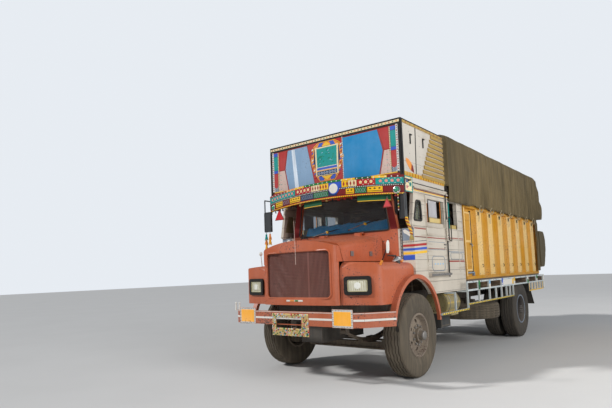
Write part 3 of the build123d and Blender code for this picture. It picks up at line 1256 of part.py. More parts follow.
with BuildPart() as mirrors:
    for side in (-1, 1):
        bend_x = side * MIRROR_REACH
        rod((side * VISOR_HALF, -160, ARM_TOP), (bend_x, -160, ARM_TOP), 9)
        rod((bend_x, -160, ARM_TOP), (bend_x, MIRROR_Y, ARM_TOP), 9)
        rod((bend_x, MIRROR_Y, ARM_TOP), (bend_x, MIRROR_Y, MIRROR_Z[0] + 100), 9)
        with Locations((bend_x, along(-160), ARM_TOP), (bend_x, along(MIRROR_Y), ARM_TOP)):
            Sphere(9)
        with Locations(Location((bend_x, along(MIRROR_Y), MIRROR_Z[0]), (0, 0, MIRROR_TURN[side]))):
            with Locations((-side * (MIRROR_WIDTH / 2 - 2), 0, 0)):
                head = (MIRROR_WIDTH, 32, MIRROR_Z[1] - MIRROR_Z[0])
                Box(*head, align=(Align.CENTER, Align.CENTER, Align.MIN))


pieces = {
    "chassis_frame": chassis_frame,
    "leaf_springs": leaf_springs,
    "front_axle_beam": front_axle_beam,
    "knuckle_left": knuckle_left,
    "knuckle_right": knuckle_right,
    "tie_rod": tie_rod,
    "wheel_front_left": wheel_front_left,
    "wheel_front_right": wheel_front_right,
    "tyre_front_left": tyre_front_left,
    "tyre_front_right": tyre_front_right,
    "rear_axle": rear_axle,
    "wheel_rear_left": wheel_rear_left,
    "wheel_rear_right": wheel_rear_right,
    "tyres_rear_left": tyres_rear_left,
    "tyres_rear_right": tyres_rear_right,
    "spare_wheel": spare_wheel,
    "engine_block": engine_block,
    "front_bumper": front_bumper,
    "nose_panel": nose_panel,
    "grille": grille,
    "bonnet": bonnet,
    "fender_left": fender_left,
    "fender_right": fender_right,
    "headlamps": headlamps,
    "cab_front": cab_front,
    "window_glass": window_glass,
    "cab_side_left": cab_side_left,
    "cab_side_right": cab_side_right,
    "cab_floor": cab_floor,
    "cab_back": cab_back,
    "cab_roof": cab_roof,
    "door_left": door_left,
    "door_right": door_right,
    "seats": seats,
    "dashboard": dashboard,
    "steering_wheel": steering_wheel,
    "crown_board": crown_board,
    "crown_box": crown_box,
    "visor_band": visor_band,
    "load_floor": load_floor,
    "load_side_left": load_side_left,
    "load_side_right": load_side_right,
    "side_door": side_door,
    "headboard": headboard,
    "tailboard": tailboard,
    "tarp_roll": tarp_roll,
    "hoop_frame": hoop_frame,
    "tarpaulin": tarpaulin,
    "side_rails": side_rails,
    "mudflaps": mudflaps,
    "tanks": tanks,
    "mirrors": mirrors,
}

os.makedirs("parts", exist_ok=True)
for name, piece in pieces.items():
    piece.part.label = name
    export_step(piece.part, f"parts/{name}.step")
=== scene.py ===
"""A decorated goods truck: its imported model, dressed with paint, canvas, rubber, glass and trim."""

import math
import random

import bmesh
import bpy
from bpy.props import FloatProperty, FloatVectorProperty, IntProperty, PointerProperty
from mathutils import Matrix, Vector, noise


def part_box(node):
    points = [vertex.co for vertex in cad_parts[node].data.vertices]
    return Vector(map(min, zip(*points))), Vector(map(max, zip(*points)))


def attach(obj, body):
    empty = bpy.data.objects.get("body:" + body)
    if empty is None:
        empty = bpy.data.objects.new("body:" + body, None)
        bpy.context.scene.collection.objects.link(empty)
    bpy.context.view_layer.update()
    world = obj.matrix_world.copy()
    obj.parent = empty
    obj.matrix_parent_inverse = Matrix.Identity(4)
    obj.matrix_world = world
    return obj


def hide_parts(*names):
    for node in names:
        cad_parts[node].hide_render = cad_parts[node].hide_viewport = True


bl_info = {
    "name": "Decorated Goods Truck",
    "version": (1, 0, 0),
    "blender": (4, 5, 0),
    "location": "3D View > Sidebar > Truck",
    "description": "Dresses the packed truck with its paintwork, canvas, tyres, glass and trim",
    "category": "Object",
}

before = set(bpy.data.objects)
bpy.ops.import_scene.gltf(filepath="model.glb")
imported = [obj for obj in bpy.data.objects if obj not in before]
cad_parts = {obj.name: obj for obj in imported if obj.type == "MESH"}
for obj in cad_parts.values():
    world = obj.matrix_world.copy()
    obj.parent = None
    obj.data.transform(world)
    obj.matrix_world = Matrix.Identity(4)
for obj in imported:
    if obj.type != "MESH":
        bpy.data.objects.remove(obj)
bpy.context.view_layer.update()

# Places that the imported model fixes, in metres; lengths run back from the front axle
FRONT_AXLE = -2.700
WHEELBASE = 4.225
TYRE_RADIUS = 0.5175
TYRE_WIDTH = 0.275
FRONT_TYRE_X = 0.977
REAR_TYRE_X = (0.732, 1.047)
CAB_HALF = 1.100
CROWN_FRONT = -0.240
VISOR_HALF = 1.125
VISOR_RADIUS = 3.6056
VISOR_RISE = 0.045
NOSE_FRONT = -1.060
RIB_PITCH = 0.5471
RIBS = tuple(2.110 + (i + 0.5) * RIB_PITCH for i in range(7))
RIB_HALF = 0.1258
SIDES = (1, -1)
HANDS = ((1, "left"), (-1, "right"))
# Headlamp: sweep of the fender's face, middle across, reach from the nose, front of the fender
LAMP_SWEEP = math.radians(12.5)
LAMP_X = 0.802
LAMP_REACH = 0.211
FENDER_FRONT = -0.955
# Spare wheel: place across and height of its middle
SPARE_X = 0.650
SPARE_Z = 0.595
# Materials by name, filled when the finishes are mixed
FINISH = {}


def back(distance):
    """Y of a place that lies this far behind the front axle."""
    return FRONT_AXLE + distance


# Drawing surfaces: each turns (across, up, out) into a place on the truck
def facing_front(distance):
    """A plane facing forward, this far behind the front axle."""
    return lambda u, v, out: (u, back(distance) - out, v)


def facing_side(side, reach):
    """A plane facing sideways, this far from the middle of the truck."""
    return lambda u, v, out: (side * (reach + out), back(u), v)


def visor_bow(u):
    """How far behind the front axle the visor's face lies at this place across."""
    return CROWN_FRONT - 0.190 + VISOR_RADIUS - math.sqrt(VISOR_RADIUS**2 - u**2)


def facing_visor(u, v, out):
    """The visor's bowed face; a height is given for its ends, and its middle arches up."""
    return (u, back(visor_bow(u)) - out, v + VISOR_RISE * (1 - (u / VISOR_HALF) ** 2))


def facing_lamp(side):
    """A fender's swept face, measured outwards from the middle of its headlamp."""
    cos, sin = math.cos(LAMP_SWEEP), math.sin(LAMP_SWEEP)
    middle = FENDER_FRONT + LAMP_REACH * math.tan(LAMP_SWEEP)
    return lambda u, v, out: (
        side * (LAMP_X + u * cos + out * sin), back(middle + u * sin - out * cos), v
    )


class Piece:
    """A mesh built up from worked forms, then set on one body of the truck."""

    def __init__(self, name):
        self.name = name
        self.form = bmesh.new()
        self.finishes = []

    def faces(self, points, faces, finish):
        """Faces between these points, all in one finish."""
        if finish not in self.finishes:
            self.finishes.append(finish)
        index = self.finishes.index(finish)
        corners = [self.form.verts.new(p) for p in points]
        for face in faces:
            made = self.form.faces.new([corners[i] for i in face])
            made.material_index = index

    def plate(self, outline, place, height, finish, columns=1, sunk=0.002):
        """A raised plate with this outline, drawn on a surface; a curved surface takes more columns."""
        if columns > 1:
            (u0, v0), (u1, _), (_, v1) = outline[0], outline[1], outline[2]
            for step in range(columns):
                a = u0 + (u1 - u0) * step / columns
                b = u0 + (u1 - u0) * (step + 1) / columns
                self.plate(((a, v0), (b, v0), (b, v1), (a, v1)), place, height, finish, sunk=sunk)
            return
        count = len(outline)
        points = [place(u, v, height) for u, v in outline] + [place(u, v, -sunk) for u, v in outline]
        sides = [(i, (i + 1) % count, (i + 1) % count + count, i + count) for i in range(count)]
        self.faces(points, [tuple(range(count)), *sides], finish)

    def bar(self, across, up, place, height, finish, columns=1):
        """A raised rectangle."""
        (a, b), (low, high) = across, up
        self.plate(((a, low), (b, low), (b, high), (a, high)), place, height, finish, columns)

    def border(self, across, up, width, place, height, finish):
        """A raised rectangular frame."""
        (a, b), (low, high) = across, up
        self.bar((a, b), (low, low + width), place, height, finish)
        self.bar((a, b), (high - width, high), place, height, finish)
        self.bar((a, a + width), (low + width, high - width), place, height, finish)
        self.bar((b - width, b), (low + width, high - width), place, height, finish)

    def disc(self, centre, radius, place, height, finish, sides=12, dome=0.0):
        """A raised disc, domed if asked."""
        u, v = centre
        turns = [2 * math.pi * i / sides for i in range(sides)]
        ring = [(u + radius * math.cos(t), v + radius * math.sin(t)) for t in turns]
        points = [
            place(*p, height) for p in ring
        ] + [place(*p, -0.002) for p in ring] + [place(u, v, height + dome)]
        faces = [(i, (i + 1) % sides, 2 * sides) for i in range(sides)]
        faces += [(i, (i + 1) % sides, (i + 1) % sides + sides, i + sides) for i in range(sides)]
        self.faces(points, faces, finish)

    def dots(self, start, end, pitch, radius, place, height, finishes, sides=6):
        """A row of small discs, their finishes taken in turn."""
        length = math.dist(start, end)
        count = max(2, round(length / pitch))
        for step in range(count):
            share = (step + 0.5) / count
            self.disc(
                between(start, end, share), radius, place, height, finishes[step % len(finishes)], sides
            )

    def box(self, low, high, finish):
        """A block between two corners."""
        (x0, y0, z0), (x1, y1, z1) = low, high
        points = [(x, y, z) for x in (x0, x1) for y in (y0, y1) for z in (z0, z1)]
        faces = ((0, 1, 3, 2), (4, 6, 7, 5), (0, 4, 5, 1), (2, 3, 7, 6), (0, 2, 6, 4), (1, 5, 7, 3))
        self.faces(points, faces, finish)

    def tube(self, points, radius, finish, sides=8, closed=False):
        """A round bar along a line of points; the radius is one number or one for each point."""
        points = [Vector(p) for p in points]
        count = len(points)
        radii = radius if hasattr(radius, "__len__") else [radius] * count
        rings, normal = [], None
        for i, point in enumerate(points):
            after = points[(i + 1) % count] if closed or i + 1 < count else point
            before = points[i - 1] if closed or i else point
            ahead = (after - before).normalized()
            if normal is None:
                normal = ahead.orthogonal().normalized()
            normal = (normal - ahead * normal.dot(ahead)).normalized()
            side = ahead.cross(normal)
            turns = [2 * math.pi * k / sides for k in range(sides)]
            rings += [point + (normal * math.cos(t) + side * math.sin(t)) * radii[i] for t in turns]
        faces = []
        for i in range(count if closed else count - 1):
            a, b = i * sides, (i + 1) % count * sides
            faces += [(a + k, a + (k + 1) % sides, b + (k + 1) % sides, b + k) for k in range(sides)]
        if not closed:
            faces += [tuple(range(sides))[::-1], tuple((count - 1) * sides + k for k in range(sides))]
        self.faces(rings, faces, finish)

    def lathe(self, centre, axis, profile, finish, steps=48, shift=None):
        """Turn a profile of (along, radius) about an axis; shift moves a point by (step, row)."""
        centre, axis = Vector(centre), Vector(axis).normalized()
        first = axis.orthogonal().normalized()
        second = axis.cross(first)
        points = []
        for step in range(steps):
            turn = 2 * math.pi * step / steps
            out = first * math.cos(turn) + second * math.sin(turn)
            for row, (along, radius) in enumerate(profile):
                da, dr = shift(step, row) if shift else (0, 0)
                points.append(centre + axis * (along + da) + out * max(radius + dr, 0.0002))
        rows = len(profile)
        faces = []
        for step in range(steps):
            a, b = step * rows, (step + 1) % steps * rows
            faces += [(a + r, b + r, b + r + 1, a + r + 1) for r in range(rows - 1)]
        self.faces(points, faces, finish)

    def ball(self, centre, radius, finish, squeeze=(1, 1, 1), rings=7):
        """A rounded knob."""
        turns = [math.pi * i / rings for i in range(rings + 1)]
        profile = [(-radius * math.cos(t), radius * math.sin(t)) for t in turns]
        start = len(self.form.verts)
        self.lathe((0, 0, 0), (0, 0, 1), profile, finish, steps=12)
        self.form.verts.ensure_lookup_table()
        for vert in self.form.verts[start:]:
            vert.co = Vector(centre) + Vector([c * s for c, s in zip(vert.co, squeeze)])

    def strands(self, top, length, radius, count, finish, flare=1.6, seed=3, thick=0.0035):
        """A hanging tassel of many thin strands."""
        dice = random.Random(seed)
        for _ in range(count):
            turn, reach = dice.uniform(0, 2 * math.pi), radius * math.sqrt(dice.random())
            x, y = reach * math.cos(turn), reach * math.sin(turn)
            drop = length * dice.uniform(0.72, 1.0)
            bend = dice.uniform(-0.25, 0.25) * radius
            line = []
            for s in (0, 0.35, 0.7, 1):
                wide = 0.55 + (flare - 0.55) * s
                line.append(
                    (top[0] + x * wide + bend * math.sin(3 * s), top[1] + y * wide, top[2] - drop * s)
                )
            self.tube(line, [thick, thick, thick, thick * 0.3], finish, sides=3)

    def set_on(self, body="truck", replaces=(), bevel=0.0, smooth=38, recalc=True):
        """Make the object, smooth it up to an angle and let it ride on its body."""
        if recalc:
            bmesh.ops.recalc_face_normals(self.form, faces=self.form.faces)
        mesh = bpy.data.meshes.new(self.name)
        self.form.to_mesh(mesh)
        self.form.free()
        for finish in self.finishes:
            mesh.materials.append(FINISH[finish])
        mesh.polygons.foreach_set("use_smooth", [True] * len(mesh.polygons))
        mesh.set_sharp_from_angle(angle=math.radians(smooth))
        made = new_object(self.name, mesh)
        if bevel:
            soften(made, bevel, 40)
        if replaces:
            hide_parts(*replaces)
        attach(made, body)
        return made


def new_object(name, data):
    """Put a mesh, lamp or camera into the scene."""
    made = bpy.data.objects.new(name, data)
    bpy.context.scene.collection.objects.link(made)
    return made


def soften(made, width, angle, harden=False):
    """Round off the edges that are sharper than an angle in degrees."""
    edge = made.modifiers.new("Soft edge", "BEVEL")
    edge.width = width
    edge.segments = 2
    edge.limit_method = "ANGLE"
    edge.angle_limit = math.radians(angle)
    edge.harden_normals = harden


def thicken(made, thickness):
    """Give a sheet its thickness, half to each side."""
    solid = made.modifiers.new("Thickness", "SOLIDIFY")
    solid.thickness = thickness
    solid.offset = 0


def between(start, end, share):
    """Point at this share of the way from one flat point to another."""
    return (start[0] + (end[0] - start[0]) * share, start[1] + (end[1] - start[1]) * share)


def rounded(u, v, half_u, half_v, radius, steps=5):
    """Outline of a rectangle with rounded corners."""
    points = []
    for quarter, (su, sv) in enumerate(((1, 1), (-1, 1), (-1, -1), (1, -1))):
        for step in range(steps + 1):
            turn = math.pi / 2 * (quarter + step / steps)
            across = u + su * (half_u - radius) + radius * math.cos(turn)
            points.append((across, v + sv * (half_v - radius) + radius * math.sin(turn)))
    return points


def round_corners(outline, radius, steps=4):
    """An outline with each of its corners rounded."""
    points = []
    count = len(outline)
    for i, corner in enumerate(outline):
        here = Vector(corner)
        before = (Vector(outline[i - 1]) - here).normalized() * radius
        after = (Vector(outline[(i + 1) % count]) - here).normalized() * radius
        for step in range(steps + 1):
            s = step / steps
            point = here + before * (1 - s) ** 2 + after * s**2
            points.append((point.x, point.y))
    return points


def ring(piece, outer, inner, place, low, high, finish):
    """A flat ring between two outlines with the same number of points."""
    count = len(outer)
    points = [place(u, v, high) for u, v in outer] + [place(u, v, high) for u, v in inner]
    points += [place(u, v, low) for u, v in outer] + [place(u, v, low) for u, v in inner]
    faces = []
    for i in range(count):
        j = (i + 1) % count
        faces.append((i, j, j + count, i + count))
        faces.append((i, i + 2 * count, j + 2 * count, j))
        faces.append((i + count, j + count, j + 3 * count, i + 3 * count))
    piece.faces(points, faces, finish)


def flower(piece, centre, size, place, height, petals, heart):
    """A painted flower: petals round a dot."""
    for step in range(5):
        turn = 2 * math.pi * step / 5 + 0.3
        spot = (centre[0] + 0.62 * size * math.cos(turn), centre[1] + 0.62 * size * math.sin(turn))
        piece.disc(spot, 0.46 * size, place, height, petals, 8)
    piece.disc(centre, 0.30 * size, place, height + 0.001, heart, 8)


def feed(tree, socket, value):
    """Link a shader socket to another, or set it to a value."""
    if isinstance(value, bpy.types.NodeSocket):
        tree.links.new(value, socket)
    else:
        socket.default_value = value


def node(tree, kind, settings=None, **values):
    """Add a shader node; a value that is a socket is linked, any other is set."""
    made = tree.nodes.new("ShaderNode" + kind)
    for key, value in (settings or {}).items():
        setattr(made, key, value)
    for key, value in values.items():
        feed(tree, made.inputs[key.replace("_", " ")], value)
    return made


def maths(tree, operation, *values, clamp=False):
    """A Math node's result."""
    made = tree.nodes.new("ShaderNodeMath")
    made.operation = operation
    made.use_clamp = clamp
    for socket, value in zip(made.inputs, values):
        feed(tree, socket, value)
    return made.outputs[0]


def blended(tree, factor, low, high):
    """A colour between two colours; the numbers are the colour sockets of a Mix node."""
    made = tree.nodes.new("ShaderNodeMix")
    made.data_type = "RGBA"
    for index, value in ((0, factor), (6, low), (7, high)):
        feed(tree, made.inputs[index], value)
    return made.outputs[2]


def cloud(tree, where, scale, detail=4.0, stretch=(1, 1, 1)):
    """A cloudy mask; a stretch below one draws it out along that axis of the truck."""
    placed = node(tree, "Mapping", Vector=where, Scale=stretch)
    made = node(tree, "TexNoise", Vector=placed.outputs[0], Scale=scale, Detail=detail, Roughness=0.6)
    return made.outputs["Fac"]


def stepped(tree, value, low, high, start=0.0, end=1.0):
    """A value carried from one range to another and kept inside it."""
    made = node(tree, "MapRange", Value=value, From_Min=low, From_Max=high, To_Min=start, To_Max=end)
    return made.outputs[0]


def new_group(name, inputs, outputs):
    """An empty node group with named inputs and outputs."""
    group = bpy.data.node_groups.new(name, "ShaderNodeTree")
    for label, kind, default in inputs:
        socket = group.interface.new_socket(label, in_out="INPUT", socket_type="NodeSocket" + kind)
        socket.default_value = default
    for label, kind in outputs:
        group.interface.new_socket(label, in_out="OUTPUT", socket_type="NodeSocket" + kind)
    source = group.nodes.new("NodeGroupInput").outputs
    sink = group.nodes.new("NodeGroupOutput").inputs
    where = group.nodes.new("ShaderNodeTexCoord").outputs["Object"]
    return group, source, sink, where


def weathering_group():
    """Old paint: faded in blotches, streaked by rain, dusty low down and on top, chipped to the metal."""
    group, source, sink, where = new_group(
        "Weathered paint",
        (
            ("Paint", "Color", (0.5, 0.5, 0.5, 1)),
            ("Fading", "Float", 0.3),
            ("Dust colour", "Color", (0.42, 0.34, 0.26, 1)),
            ("Dust", "Float", 0.35),
            ("Chip colour", "Color", (0.10, 0.06, 0.05, 1)),
            ("Chips", "Float", 0.25),
            ("Roughness", "Float", 0.45),
            ("Fineness", "Float", 1.0),
        ),
        (("Colour", "Color"), ("Roughness", "Float"), ("Height", "Float")),
    )
    sized = node(
        group, "VectorMath", {"operation": "SCALE"}, Vector=where, Scale=source["Fineness"]
    ).outputs[0]
    blotches = cloud(group, sized, 2.2, 5.0)
    grit = cloud(group, sized, 55.0, 4.0)
    streaks = cloud(group, sized, 7.0, 4.0, (3.0, 3.0, 0.22))
    tone = maths(group, "MULTIPLY_ADD", maths(group, "SUBTRACT", blotches, 0.5), source["Fading"], 1.0)
    rain = maths(
        group,
        "MULTIPLY_ADD",
        maths(group, "SUBTRACT", streaks, 0.5),
        maths(group, "MULTIPLY", source["Fading"], 0.9),
        tone,
    )
    faded = node(
        group,
        "HueSaturation",
        Color=source["Paint"],
        Value=rain,
        Saturation=stepped(group, blotches, 0.2, 0.8, 1.05, 0.86),
    )
    height = node(group, "SeparateXYZ", Vector=where).outputs[2]
    facing = node(group, "SeparateXYZ", Vector=node(group, "NewGeometry").outputs["Normal"]).outputs[2]
    low = stepped(group, height, 0.15, 1.9, 1.0, 0.18)
    lying = maths(group, "MULTIPLY", maths(group, "MAXIMUM", facing, 0.0), 0.55)
    settled = maths(
        group,
        "MULTIPLY",
        maths(group, "ADD", low, lying),
        stepped(group, streaks, 0.25, 0.75, 0.35, 1.25),
    )
    dust = maths(group, "MULTIPLY", settled, source["Dust"], clamp=True)
    dusty = blended(group, dust, faded.outputs[0], source["Dust colour"])
    edge = maths(group, "SUBTRACT", 0.80, maths(group, "MULTIPLY", source["Chips"], 0.24))
    flakes = maths(group, "MULTIPLY_ADD", blotches, 0.45, maths(group, "MULTIPLY", grit, 0.75))
    chip = stepped(group, maths(group, "SUBTRACT", flakes, edge), 0.0, 0.02)
    group.links.new(blended(group, chip, dusty, source["Chip colour"]), sink["Colour"])
    dull = maths(
        group, "MULTIPLY_ADD", maths(group, "ADD", dust, chip), 0.35, source["Roughness"], clamp=True
    )
    group.links.new(maths(group, "MULTIPLY_ADD", grit, 0.08, dull, clamp=True), sink["Roughness"])
    relief = maths(group, "MULTIPLY_ADD", grit, 0.25, maths(group, "MULTIPLY", blotches, 0.5))
    group.links.new(maths(group, "SUBTRACT", relief, maths(group, "MULTIPLY", chip, 0.5)), sink["Height"])
    return group


def timber_group():
    """Painted boards: grain along the truck, open joints and bare wood where paint wore off."""
    group, source, sink, where = new_group(
        "Painted boards",
        (
            ("Paint", "Color", (0.7, 0.62, 0.5, 1)),
            ("Bare wood", "Color", (0.30, 0.20, 0.12, 1)),
            ("Wear", "Float", 0.3),
            ("Board height", "Float", 0.145),
            ("Joint", "Float", 0.04),
        ),
        (("Colour", "Color"), ("Roughness", "Float"), ("Height", "Float")),
    )
    grain = cloud(group, where, 9.0, 6.0, (1.0, 0.16, 3.2))
    fibres = cloud(group, where, 60.0, 3.0, (1.0, 0.10, 3.0))
    stains = cloud(group, where, 1.7, 5.0, (1.0, 1.0, 0.5))
    height = node(group, "SeparateXYZ", Vector=where).outputs[2]
    share = maths(group, "FRACT", maths(group, "DIVIDE", height, source["Board height"]))
    joint = maths(group, "LESS_THAN", share, source["Joint"])
    rubbed = stepped(
        group,
        maths(group, "ADD", maths(group, "MULTIPLY", grain, 0.7), maths(group, "MULTIPLY", stains, 0.4)),
        0.58,
        0.66,
    )
    worn = maths(group, "MULTIPLY", rubbed, source["Wear"], clamp=True)
    toned = node(
        group,
        "HueSaturation",
        Color=source["Paint"],
        Value=stepped(group, stains, 0.25, 0.75, 1.08, 0.80),
    )
    aged = blended(group, worn, toned.outputs[0], source["Bare wood"])
    shaded = blended(group, maths(group, "MULTIPLY", joint, 0.75), aged, (0.06, 0.045, 0.035, 1))
    group.links.new(shaded, sink["Colour"])
    group.links.new(stepped(group, fibres, 0.2, 0.8, 0.45, 0.75), sink["Roughness"])
    relief = maths(group, "MULTIPLY_ADD", fibres, 0.30, maths(group, "MULTIPLY", grain, 0.35))
    group.links.new(maths(group, "SUBTRACT", relief, joint), sink["Height"])
    return group


def weave_group():
    """Canvas: crossing threads, water stains and pale dusty ridges; the threads also carry painted shade.
    """
    group, source, sink, where = new_group(
        "Canvas weave",
        (
            ("Cloth", "Color", (0.35, 0.29, 0.2, 1)),
            ("Stain", "Color", (0.16, 0.14, 0.08, 1)),
            ("Staining", "Float", 0.5),
            ("Thread", "Float", 900.0),
        ),
        (("Colour", "Color"), ("Roughness", "Float"), ("Height", "Float")),
    )
    axes = node(group, "SeparateXYZ", Vector=where).outputs
    warp = maths(
        group, "SINE", maths(group, "MULTIPLY", maths(group, "ADD", axes[0], axes[1]), source["Thread"])
    )
    weft = maths(
        group, "SINE", maths(group, "MULTIPLY", maths(group, "ADD", axes[2], axes[0]), source["Thread"])
    )
    threads = maths(group, "MULTIPLY", warp, weft)
    stains = cloud(group, where, 1.1, 6.0, (1.0, 1.2, 0.5))
    runs = cloud(group, where, 6.0, 4.0, (1.0, 3.0, 0.25))
    soiled = stepped(
        group, maths(group, "MULTIPLY_ADD", runs, 0.5, maths(group, "MULTIPLY", stains, 0.6)), 0.42, 0.72
    )
    colour = blended(
        group, maths(group, "MULTIPLY", soiled, source["Staining"]), source["Cloth"], source["Stain"]
    )
    # The threads' relief is also painted into the colour as painted shade and highlight, by up to a
    # twentieth
    lit = node(
        group, "HueSaturation", Color=colour, Value=maths(group, "MULTIPLY_ADD", threads, 0.05, 1.0)
    )
    group.links.new(lit.outputs[0], sink["Colour"])
    group.links.new(stepped(group, runs, 0.2, 0.8, 0.82, 0.98), sink["Roughness"])
    group.links.new(
        maths(group, "MULTIPLY_ADD", threads, 0.35, maths(group, "MULTIPLY", runs, 0.6)), sink["Height"]
    )
    return group


def make_finish(name, group, values, bump=0.3, depth=0.002, **shader):
    """A material: one group feeds the shader's colour, roughness and bump; all else is set on it."""
    material = bpy.data.materials.new(name)
    material.use_nodes = True
    tree = material.node_tree
    principled = tree.nodes["Principled BSDF"]
    for key, value in shader.items():
        principled.inputs[key.replace("_", " ")].default_value = value
    placed = tree.nodes.new("ShaderNodeGroup")
    placed.node_tree = bpy.data.node_groups[group]
    for key, value in values.items():
        placed.inputs[key].default_value = value
    tree.links.new(placed.outputs["Colour"], principled.inputs["Base Color"])
    tree.links.new(placed.outputs["Roughness"], principled.inputs["Roughness"])
    relief = node(tree, "Bump", Height=placed.outputs["Height"], Strength=bump, Distance=depth)
    tree.links.new(relief.outputs[0], principled.inputs["Normal"])
    FINISH[name] = material


def paint(
    name, colour, dust, chips, roughness, fading=0.35, bump=0.25, depth=0.002, fineness=1.0, **shader
):
    """A painted finish; values such as Metallic or Coat Weight go to the shader itself."""
    values = {
        "Paint": (*colour, 1),
        "Dust colour": (*bpy.context.scene.truck_colours.dust, 1),
        "Dust": dust,
        "Chips": chips,
        "Roughness": roughness,
        "Fading": fading,
        "Fineness": fineness,
    }
    make_finish(name, "Weathered paint", values, bump, depth, **shader)


def colour_setting(name, description, default):
    """A colour that a user can change."""
    return FloatVectorProperty(
        name=name, description=description, default=default, subtype="COLOR", size=3, min=0, max=1
    )


def length_setting(name, description, default, low, high):
    """A length that a user can change."""
    limits = {"default": default, "min": low, "max": high}
    return FloatProperty(name=name, description=description, unit="LENGTH", **limits)


class TruckColours(bpy.types.PropertyGroup):
    """Main colours of the truck."""

    cowl: colour_setting("Cowl", "Paint of the bonnet, nose, fenders and cowl", (0.52, 0.098, 0.022))
    grille: colour_setting("Grille", "Paint of the grille mesh", (0.20, 0.060, 0.045))
    cab: colour_setting("Cab", "Paint of the wooden cab", (0.62, 0.555, 0.46))
    body: colour_setting("Load body", "Ochre of the load body's ribs", (0.60, 0.28, 0.006))
    body_face: colour_setting(
        "Rib faces", "Paler paint on the outer faces of the ribs", (0.80, 0.52, 0.17)
    )
    canvas: colour_setting("Canvas", "Cloth of the tarpaulin", (0.20, 0.145, 0.065))
    rail: colour_setting("Side rail", "Paint of the side rails", (0.56, 0.62, 0.62))
    sky: colour_setting("Crown panels", "The two large panels of the crown", (0.008, 0.24, 0.52))
    dust: colour_setting("Dust", "Road dust on the lower parts", (0.24, 0.19, 0.13))


class TruckSizes(bpy.types.PropertyGroup):
    """Sizes of the truck's dressing."""

    groove: length_setting("Tread groove", "Depth of the tread grooves", 0.013, 0, 0.02)
    fold: length_setting("Canvas fold", "How far the folds of the canvas stand out", 0.042, 0, 0.06)
    mesh_pitch: length_setting("Grille pitch", "Spacing of the grille's bars", 0.0175, 0.01, 0.06)
    wires: length_setting("Grille wire", "Thickness of the grille's bars", 0.0075, 0.002, 0.012)
    seed: IntProperty(name="Seed", description="Changes the chance folds and knots", default=7, min=0)


MATT = {"Specular_IOR_Level": 0.15}
SHEEN = {"Sheen_Weight": 0.3}
# Lenses of the headlamps are glossy and finely mottled
LENS = {"fading": 0.4, "fineness": 4.0, "Coat_Weight": 1.0, "Coat_Roughness": 0.05}
# Paints: name, colour, dust, chips, roughness, other settings
PAINTS = (
    ("frame", (0.050, 0.046, 0.044), 0.55, 0.4, 0.6, {}),
    ("axle", (0.060, 0.052, 0.045), 0.75, 0.5, 0.7, {"depth": 0.004}),
    ("spring", (0.075, 0.055, 0.042), 0.6, 0.6, 0.7, {}),
    ("wheel", (0.20, 0.16, 0.125), 0.50, 0.55, 0.62, {"depth": 0.004}),
    ("rear_wheel", (0.045, 0.045, 0.05), 0.30, 0.4, 0.55, {}),
    ("engine", (0.035, 0.034, 0.032), 0.22, 0.4, 0.6, {"depth": 0.006}),
    ("tyre", (0.040, 0.034, 0.026), 0.50, 0.0, 0.82, {"fading": 0.5, "depth": 0.003}),
    ("rear_tyre", (0.022, 0.022, 0.022), 0.26, 0.0, 0.82, {"fading": 0.5, "depth": 0.003}),
    ("rubber", (0.020, 0.020, 0.020), 0.25, 0.0, 0.75, {}),
    ("tank", (0.33, 0.27, 0.10), 0.45, 0.5, 0.5, {}),
    ("steel", (0.30, 0.29, 0.28), 0.3, 0.4, 0.42, {"Metallic": 0.75}),
    ("bright", (0.80, 0.80, 0.78), 0.06, 0.1, 0.16, {"fading": 0.1, "bump": 0.08, "Metallic": 1.0}),
    ("hair", (0.012, 0.011, 0.011), 0.12, 0.0, 0.9, {}),
    ("plastic", (0.025, 0.030, 0.034), 0.15, 0.1, 0.5, {}),
    ("lens", (0.74, 0.72, 0.56), 0.05, 0.0, 0.12, LENS),
    ("lens_edge", (0.46, 0.40, 0.20), 0.05, 0.0, 0.12, LENS),
    ("lens_heart", (0.84, 0.83, 0.74), 0.05, 0.0, 0.12, LENS),
    # A pale streak over the left crown panel: a painted reflection
    ("reflection_streak", (0.62, 0.70, 0.78), 0.05, 0.12, 0.35, {"fading": 0.9, "Coat_Weight": 0.2}),
    ("amber", (0.85, 0.30, 0.01), 0.05, 0.0, 0.12, {"fading": 0.2, "Coat_Weight": 1.0}),
    ("amber_plate", (1.0, 0.42, 0.0), 0.03, 0.12, 0.5, MATT),
    ("green_lamp", (0.01, 0.30, 0.14), 0.04, 0.0, 0.1, {"fading": 0.2, "Coat_Weight": 1.0}),
    ("red_lens", (0.66, 0.015, 0.02), 0.04, 0.0, 0.15, {"fading": 0.2, "Coat_Weight": 0.8}),
    ("mirror", (0.85, 0.86, 0.88), 0.02, 0.0, 0.04, {"fading": 0.05, "bump": 0.02, "Metallic": 1.0}),
    (
        "glass", (0.80, 0.86, 0.88), 0.05, 0.0, 0.03,
        {"fading": 0.1, "bump": 0.02, "Transmission_Weight": 0.96, "IOR": 1.14},
    ),
)
# Boards: name, paint, wear, bump, other settings
BOARDS = (
    ("floor", (0.13, 0.09, 0.06), 0.8, 0.5, {"Joint": 0.0}),
    ("crown_side", (0.58, 0.53, 0.46), 0.22, 0.3, {"Board height": 0.9, "Joint": 0.003}),
    ("batten", (0.42, 0.27, 0.06), 0.7, 0.5, {"Joint": 0.0}),
)
# Cloths of the canvas's colour: name, share of its tone, stain, staining, bump, depth; a share below one
# is painted shade, on the sheet's ends and on the roll at the rear
CANVASES = (
    ("canvas", 1.0, (0.055, 0.042, 0.018, 1), 0.95, 0.6, 0.006),
    ("canvas_shade_ends", 0.80, (0.045, 0.036, 0.016, 1), 0.9, 0.6, 0.006),
    ("canvas_shade_roll", 0.40, (0.16, 0.14, 0.08, 1), 0.6, 0.4, 0.003),
)
